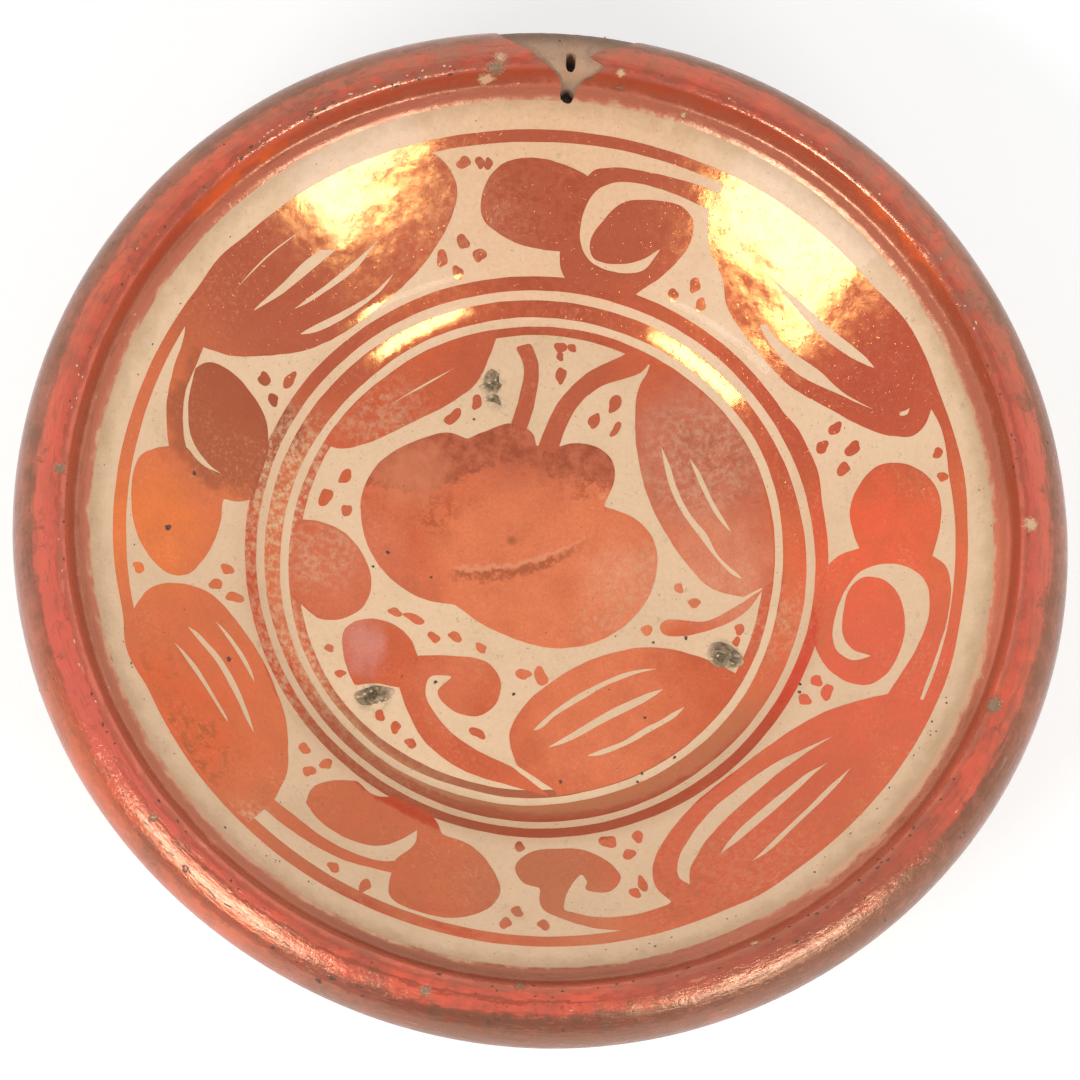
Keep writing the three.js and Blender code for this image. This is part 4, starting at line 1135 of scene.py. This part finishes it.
# The loops of the bare veins in the leaves, as runs too
VEINS = {
    "leaf_upper_right": [
        [(32.4, 0.88), (31.6, 0.84, 31.9, 0.78), (32.5, 0.79, 32.2, 0.84, 32.4, 0.88)],
        [(40.3, 0.77), (43, 0.68, 46, 0.62, 50, 0.57, 56, 0.575, 62, 0.62),
         (56, 0.63, 50, 0.66, 45, 0.72, 42, 0.76, 40.3, 0.77)],
        [(34, 0.65),
         (36, 0.57, 38, 0.5, 40, 0.44, 43, 0.35, 46, 0.28, 49, 0.24, 53, 0.235, 56, 0.25, 58.6, 0.29),
         (58, 0.32, 54, 0.31, 50, 0.34, 45, 0.41, 40, 0.47, 36, 0.58, 34, 0.65)],
    ],
    "leaf_upper_left": [
        [(137.6, 0.868), (146, 0.872, 154, 0.862), (146, 0.858, 137.6, 0.868)],
        [(138.5, 0.665), (142, 0.66, 146, 0.64, 150, 0.645, 153, 0.655),
         (150, 0.61, 147, 0.58, 144, 0.575, 140, 0.58, 136, 0.6), (137.5, 0.64, 138.5, 0.665)],
        [(129, 0.52), (132, 0.48, 136, 0.445, 140, 0.425, 144, 0.43, 147.7, 0.44),
         (145, 0.405, 141, 0.385, 137, 0.385, 134, 0.41, 132, 0.45, 129, 0.52)],
        [(129, 0.24), (132, 0.17, 135, 0.145, 139, 0.135, 143, 0.15, 147, 0.2, 149.7, 0.275),
         (146, 0.24, 142, 0.2, 138, 0.18, 134, 0.18, 131, 0.21, 129, 0.24)],
    ],
    "leaf_lower_left": [
        [(209, 0.74), (211, 0.7, 213, 0.67, 216, 0.63, 219, 0.61, 222, 0.6, 224, 0.59),
         (223, 0.575, 220, 0.575, 217, 0.585, 214, 0.61, 211.5, 0.66, 209, 0.74)],
        [(207, 0.58),
         (208, 0.51, 210, 0.45, 212, 0.4, 214, 0.37, 217, 0.35, 220, 0.355, 223, 0.38, 226, 0.42,
          227.5, 0.45),
         (224, 0.43, 221, 0.41, 218, 0.41, 215, 0.42, 213, 0.44, 211, 0.48, 209, 0.53, 207, 0.58)],
        [(206, 0.34), (208, 0.27, 211, 0.21, 214, 0.175, 217, 0.175, 219, 0.195),
         (216, 0.205, 213, 0.225, 210, 0.265, 208, 0.3, 206, 0.34)],
    ],
    "leaf_lower_right": [
        [(314, 0.8), (316, 0.81, 318.5, 0.8, 321, 0.78, 325, 0.765, 329, 0.765, 332, 0.77, 335, 0.765),
         (333, 0.745, 330, 0.72, 326, 0.72, 322, 0.73, 319, 0.75, 316, 0.78, 314, 0.8)],
        [(311, 0.6), (314, 0.58, 317, 0.56, 321, 0.545, 325, 0.54, 329, 0.545, 332, 0.56, 334.5, 0.59),
         (333, 0.56, 331, 0.51, 328, 0.48, 324, 0.46, 320, 0.465, 316, 0.49, 313, 0.54, 311, 0.6)],
        [(304.5, 0.74),
         (303.6, 0.65, 303.8, 0.58, 304.8, 0.49, 306, 0.42, 308, 0.35, 310, 0.29, 313, 0.23, 316, 0.19,
          319, 0.18, 322, 0.18, 325, 0.195, 328, 0.22, 331, 0.27, 333, 0.32, 335.5, 0.39, 338.5, 0.49),
         (336, 0.43, 334, 0.39, 331, 0.35, 328, 0.32, 325, 0.31, 321, 0.31, 317, 0.33, 313, 0.38,
          310, 0.44, 307.5, 0.53, 306, 0.59, 305, 0.68, 304.5, 0.74)],
    ],
    "floor_leaf_upper_left": [
        [(-24.3, 37.4), (-30, 32.3, -33, 29.4, -37.8, 24.2), (-33.2, 28.8, -30.1, 31.6, -24.3, 37.4)],
    ],
    "floor_leaf_upper_right": [
        [(20.2, 30.2),
         (21, 28, 22, 25.5, 23.5, 22.5, 25, 20, 27, 17.5, 29.5, 15, 32, 12.8, 35, 10, 38, 7.7, 40, 6.4,
          42.3, 5.9),
         (41, 6.8, 39, 8, 36.5, 9.7, 34.5, 12, 33, 14, 31, 15.5, 28.5, 17.8, 26.5, 20.3, 24.5, 23.3,
          22.8, 26.5, 20.2, 30.2)],
        [(26.4, 29), (28, 26.3, 30, 23.3, 32, 20.7, 34, 18.3, 36, 16.5, 38.2, 15),
         (37, 16.5, 35, 18.7, 33, 21, 31, 23.8, 29, 26.5, 26.4, 29)],
    ],
    "floor_leaf_lower_right": [
        [(28.9, -16.3),
         (26, -17, 23, -18.3, 20, -20.3, 17, -22.7, 14, -25.3, 11.5, -28, 9.3, -30.8, 7.8, -33,
          6.8, -34.7),
         (8.5, -33.7, 10.5, -30.8, 13, -28.2, 16, -25.3, 19, -22.4, 22, -20.2, 25, -18.2, 28.9, -16.3)],
        [(31, -20.2),
         (28, -21.8, 25, -24, 22, -26.3, 19, -29, 16.5, -31.5, 14, -34, 12, -36, 10.3, -37.6),
         (13, -36.2, 16, -34, 18.5, -31.7, 21, -29.5, 24, -27, 27, -24.5, 29.5, -22, 31, -20.2)],
        [(36, -23), (34, -24.5, 31.5, -27, 29, -29, 27, -31, 25, -33, 22, -35, 18.4, -37.6),
         (21, -36.9, 24, -35, 27, -32.7, 29.5, -30.3, 32, -28, 34.5, -25.5, 36, -23)],
    ],
}


def inside_ring(loop):
    """The loop, kept from covering the cream line between the two inner painted ones."""
    limit = cream_ring(np.degrees(np.arctan2(loop[:, 1], loop[:, 0])) % 360) - 1.0
    return loop * np.minimum(1, limit / np.hypot(*loop.T))[:, None]


MOTIF_LIFT, MOTIF_STEP = 0.044, 0.001
for number, (name, runs) in enumerate([*BORDER.items(), *FLOOR.items()]):
    place = on_border if name in BORDER else on_floor
    loop = outline(runs, place)
    if name in FLOOR:
        loop = inside_ring(loop)
    gaps = [outline(vein, place, unsteady=0.04) for vein in VEINS.get(name, ())]
    motif = film("lustre_" + name, [loop], gaps, top=MOTIF_LIFT + MOTIF_STEP * number)
    if name in BORDER:
        dressed(motif, BORDER_MATERIAL, [name])
    else:
        dressed(motif, FLOWER_MATERIAL if name == "flower" else FLOOR_MATERIAL, [name])

# Small dots between the motifs: degrees and share, then half sizes across and along in millimetres
BORDER_DOTS = [
    (21, 0.965, 1, 1), (24.5, 0.97, 1, 1), (30.5, 0.355, 1.3, 1.6), (27.8, 0.235, 1.2, 1.4),
    (35.2, 0.29, 1.2, 1.3), (33.3, 0.14, 1.3, 1.2), (72.2, 0.25, 1.2, 1.3), (69.5, 0.145, 1.1, 1.2),
    (75, 0.11, 1.1, 1.1), (109.6, 0.855, 0.9, 1), (110.8, 0.87, 1, 1), (113.2, 0.885, 1.5, 1),
    (115.3, 0.31, 1.2, 1.4), (112.7, 0.19, 1.3, 1.3), (119.6, 0.225, 1.2, 1.5), (117.3, 0.09, 1.2, 1.2),
    (160, 0.265, 1.2, 1.4), (157, 0.1, 1.8, 1), (162, 0.12, 1.2, 1.1), (197.9, 0.905, 1.1, 1.2),
    (199.6, 0.265, 1.2, 1.3), (196.6, 0.155, 1.2, 1.2), (202, 0.12, 1.1, 1.8), (237.8, 0.285, 1.2, 1.3),
    (234, 0.165, 1.2, 1.2), (238.7, 0.12, 1.2, 1.3), (251.2, 0.9, 1.2, 1.2), (256.3, 0.91, 1.2, 1.5),
    (276.8, 0.875, 1.2, 1.3), (278.4, 0.75, 1.2, 1.2), (282.2, 0.87, 1.2, 1.2), (278.5, 0.105, 1.1, 1.1),
    (296.4, 0.655, 1.1, 1.2), (298, 0.59, 1, 1.7), (297.8, 0.28, 1.2, 1.3), (295, 0.115, 1.7, 1.5),
    (300.5, 0.14, 1.2, 1.3), (345.2, 0.245, 1.7, 1.2), (342.5, 0.11, 1.2, 1.3), (346.7, 0.125, 1.2, 1.2),
]
# On the floor: place, half sizes and tilt in degrees
FLOOR_DOTS = [
    (-4.3, 46.2, 1.2, 1.2, 0), (-2, 46.6, 1, 0.8, 0), (-4, 44.3, 0.8, 0.9, 0), (-3, 40.4, 1, 1.9, 0),
    (-18.7, 31, 1.1, 1.5, 0), (-22.8, 26.8, 1.2, 2, -35), (-41.6, 9.3, 1, 1.9, -30),
    (-44.6, 4, 1.3, 2, 0), (-39.8, 2.3, 1, 1.4, 0), (9.1, 37, 1.1, 2.2, -20), (5.7, 32.5, 1, 1.9, -15),
    (10.4, 31.7, 0.8, 1.7, -20), (29.8, 1.4, 1, 1, 0), (33.5, -1, 1.4, 0.9, 10),
    (-25.6, -16.4, 1.4, 0.9, 0), (-21.5, -16.8, 2.2, 0.9, -8), (-16.8, -19.8, 1.3, 1, -30),
    (-12.6, -18.7, 1.6, 0.9, -10), (-7, -19.8, 1.3, 0.9, -15), (-37, -27, 1.1, 0.7, 0),
    (-33.7, -31.7, 1.1, 0.8, 0), (-24, -38.5, 1, 1.2, 0), (-20.4, -40.2, 1.1, 1.2, 0),
    (-16.7, -42.8, 1.2, 1, 0), (-4, -37.6, 1.7, 1, -20), (2.5, -23.3, 1.6, 1.1, -10),
    (6.1, -23, 1.4, 1.9, 30), (25.2, -8.7, 1.3, 1, 0), (43.6, -4.6, 1.1, 1.1, 0), (43.5, -7.3, 0.8, 1, 0),
]


def border_blot(degrees, share, *sizes, **shape):
    (x, y), = on_border(np.array([[degrees, share]]))
    return blot(x, y, *sizes, **shape)


DOT_ROUGH, DOT_LIFT = 0.26, 0.045
border_blots = [border_blot(at, share, b, a, tilt=at, rough=DOT_ROUGH) for at, share, a, b in BORDER_DOTS]
dots = film("border_dots", border_blots, top=DOT_LIFT, spacing=0.9)
dressed(dots, BORDER_MATERIAL)
floor_blots = [blot(*dot, rough=DOT_ROUGH) for dot in FLOOR_DOTS]
dots = film("floor_dots", floor_blots, top=DOT_LIFT, spacing=0.9)
dressed(dots, FLOOR_MATERIAL)

# Iron specks: place and half size, on the floor and then on the border
FLOOR_SPECKS = [
    (-14.5, -29, 0.35), (-29.7, -4.4, 0.38), (-20, -7.5, 0.25), (-32, -8, 0.25), (-18.5, 27.3, 0.25),
    (33.3, -8.7, 0.35), (28.5, -27, 0.3), (30.2, -38.7, 0.3), (29.7, -40.7, 0.25), (36, -34, 0.3),
    (14.5, -44, 0.35), (1.5, -27.9, 0.3), (27, -11, 0.25),
]
BORDER_SPECKS = [
    (191, 0.65, 0.6), (181, 0.49, 0.4), (213.5, 0.32, 0.45), (343.6, 0.04, 0.3), (345.2, 0.015, 0.25),
]
speck_loops = [blot(*speck, rough=0.3) for speck in FLOOR_SPECKS]
speck_loops += [border_blot(*speck, rough=0.3) for speck in BORDER_SPECKS]
specks = film("iron_specks", speck_loops, top=0.11, spacing=0)
dressed(specks, SPECK_MATERIAL)

# Kiln-prop scars: outline runs and how unsteady they are
SCARS = [
    ([
        (-17.3, 38.6), (-15.6, 37.9, -15.1, 36.2, -14.2, 35.8), (-15, 34.2, -14.6, 33, -13.4, 31.2),
        (-15.6, 31.8, -17.8, 31.4), (-18.1, 33.4, -19.2, 34.4), (-17.9, 35.3, -18.3, 36.8, -17.3, 38.6),
    ], 0.1),
    ([(-30, -35.6, -27.6, -33.4, -24.8, -32.2, -22.2, -32.6, -22.6, -34.4, -25.2, -36.2, -28, -37)], 0.12),
    ([
        (38.3, -9), (40, -8, 42.5, -8.4), (45.6, -10.5, 45.9, -12),
        (44, -12.8, 40, -13.1, 38.4, -11.6, 38.3, -9),
    ], 0.12),
]
scar_loops = [outline(runs, on_floor, unsteady) for runs, unsteady in SCARS]
scars = film("kiln_scars", scar_loops, top=0.12, bottom=-0.3, spacing=0.45, relief=0.09)
dressed(scars, SCAR_MATERIAL)

# Marks strewn round the bowl: degrees from and to, radius, spread, count, half sizes across and along
RIM_PITS = [
    (112, 143, 95.7, 0.4, 20, 0.2, 0.36), (143, 214, 96.2, 0.8, 12, 0.18, 0.3),
    (214, 262, 97.3, 1.0, 12, 0.2, 0.32), (220, 256, 101.3, 0.22, 44, 0.12, 0.9),
    (262, 346, 95.7, 0.6, 30, 0.2, 0.34), (262, 330, 98.2, 1.2, 16, 0.16, 0.3),
    (-14, 62, 95.8, 0.6, 14, 0.17, 0.3), (62, 88, 96.2, 0.6, 8, 0.17, 0.36),
    (0, 360, 103, 1.6, 36, 0.14, 0.2), (250, 280, 103.2, 0.8, 8, 0.3, 0.8),
]
# Pale marks painted as glints along the ridge, the crest and the ledge, read as small worn losses too
RIM_GLINTS = [
    (112, 143, 96.5, 0.4, 14, 0.16, 0.36), (143, 260, 96.8, 0.8, 12, 0.14, 0.3),
    (270, 345, 99.9, 0.3, 12, 0.1, 0.5), (30, 80, 97, 0.8, 10, 0.14, 0.28),
    (0, 360, 92.4, 0.5, 14, 0.1, 0.3),
]
GLAZE_SPECKS = [
    (290, 350, 87.2, 1.2, 20, 0.14, 0.2), (200, 250, 87, 1.4, 14, 0.14, 0.2),
    (0, 200, 86.8, 1.6, 16, 0.1, 0.14), (0, 360, 72, 9, 40, 0.1, 0.13), (0, 360, 30, 17, 26, 0.1, 0.13),
]


def scattered(zones):
    """Small ovals strewn along the bowl, longer along the way round than across."""
    made = []
    for start, end, radius, spread, count, across, along in zones:
        for _ in range(count):
            degrees = chance.uniform(start, end)
            r = radius + chance.normal() * spread * 0.7
            size = chance.uniform(0.5, 1.2)
            x, y = r * math.cos(math.radians(degrees)), r * math.sin(math.radians(degrees))
            tilt = degrees + 90 + chance.uniform(-12, 12)
            made.append(blot(x, y, along * size * chance.uniform(0.6, 1.3), across * size, tilt, rough=0.35))
    return apart(made)


def apart(loops):
    """The loops that keep clear of the ones before them."""
    kept = []
    for loop in loops:
        middle, reach = loop.mean(0), np.abs(loop - loop.mean(0)).max()
        if all(np.hypot(*(middle - m)) > reach + far + 0.1 for m, far, _ in kept):
            kept.append((middle, reach, loop))
    return [loop for _, _, loop in kept]


for name, zones, material, lift in (
    ("rim_pits", RIM_PITS, SPECK_MATERIAL, 0.095),
    ("rim_glints", RIM_GLINTS, GLINT_AND_LOSS_MATERIAL, 0.09),
    ("glaze_specks", GLAZE_SPECKS, SPECK_MATERIAL, 0.075),
):
    marks = film(name, scattered(zones), top=lift, spacing=0)
    dressed(marks, material)


# Floor, light and camera
def added(name, data):
    made = bpy.data.objects.new(name, data)
    bpy.context.scene.collection.objects.link(made)
    return made


FLOOR_REACH = 3.0
floor_corners = [(x * FLOOR_REACH, y * FLOOR_REACH, 0) for x, y in ((-1, -1), (1, -1), (1, 1), (-1, 1))]
floor_mesh = bpy.data.meshes.new("studio_floor")
floor_mesh.from_pydata(floor_corners, [], [(0, 1, 2, 3)])
added("studio_floor", floor_mesh)

# White for what the camera, a reflection or a refraction sees, dimmer for the light it throws back
paper = Tree(bpy.data.materials.new("studio_floor"))
paper.nodes.clear()
white = paper.node("BsdfDiffuse", {"Color": (0.8, 0.8, 0.8, 1)})
shaded = paper.node("BsdfDiffuse", {"Color": (0.58, 0.58, 0.58, 1)})
lit = paper.node("AddShader", {0: shaded, 1: paper.node("Emission", {"Strength": 0.5})})
rays = paper.nodes.new("ShaderNodeLightPath").outputs
seen = paper.most(*(rays[f"Is {kind} Ray"] for kind in ("Camera", "Glossy", "Transmission")))
surface_output = paper.nodes.new("ShaderNodeOutputMaterial").inputs["Surface"]
paper.put(surface_output, paper.node("MixShader", {0: seen, 1: white, 2: lit}))
floor_mesh.materials.append(paper.owner)

# The studio: pale behind the bowl and at the sides' horizon, dim overhead and on the camera's side
DIM, PALE_WALL = 0.45, 1.0
sky = Tree(bpy.data.worlds.new("studio"))
bpy.context.scene.world = sky.owner
_, forward, up = sky.parts(sky.node("TexCoord", {}, "Generated"))
horizon = sky.times(sky.between(forward, -0.95, -0.3), sky.between(up, 0.32, 0.14))
behind = sky.times(sky.between(forward, -0.35, 0.35), sky.between(up, 0.95, 0.6))
background = sky.nodes["Background"].inputs
sky.put(background["Strength"], sky.between(sky.most(horizon, behind), 0, 1, DIM, PALE_WALL))
sky.put(background["Color"], (1, 1, 1, 1))

TARGET = Vector((0, 0, 0.0375))
RADIANCE = 20


def softbox(name, azimuth, rise, width, height):
    """A soft light one metre from the bowl, at degrees round from +X and above the horizon."""
    lamp = bpy.data.lights.new(name, "AREA")
    lamp.shape = "RECTANGLE"
    lamp.size, lamp.size_y = width, height
    lamp.energy = RADIANCE * math.pi * width * height
    made = added(name, lamp)
    a, e = math.radians(azimuth), math.radians(rise)
    direction = Vector((math.cos(a) * math.cos(e), math.sin(a) * math.cos(e), math.sin(e)))
    made.location = TARGET + direction
    made.rotation_euler = direction.to_track_quat("Z", "Y").to_euler()


softbox("softbox_right", -39.5, 36.5, 0.36, 0.15)
softbox("softbox_left", -127, 38.8, 0.42, 0.18)

IMAGE_SIZE = 1080
CAMERA_DISTANCE = 1.2
camera_data = bpy.data.cameras.new("camera")
camera_data.sensor_width, camera_data.lens = 36, 200
camera_data.shift_x, camera_data.shift_y = -2.2 / IMAGE_SIZE, -10.8 / IMAGE_SIZE
camera = added("camera", camera_data)
elevation, roll = math.radians(73.24), math.radians(12.34)
back = Vector((0, -math.cos(elevation), math.sin(elevation)))
level = Vector((1, 0, 0))
upright = Vector((0, math.sin(elevation), math.cos(elevation)))
image_right = level * math.cos(roll) + upright * math.sin(roll)
image_up = upright * math.cos(roll) - level * math.sin(roll)
turned = Matrix((image_right, image_up, back)).transposed().to_4x4()
camera.matrix_world = Matrix.Translation(TARGET + back * CAMERA_DISTANCE) @ turned
bpy.context.scene.camera = camera
bpy.context.scene.view_settings.view_transform = "Standard"
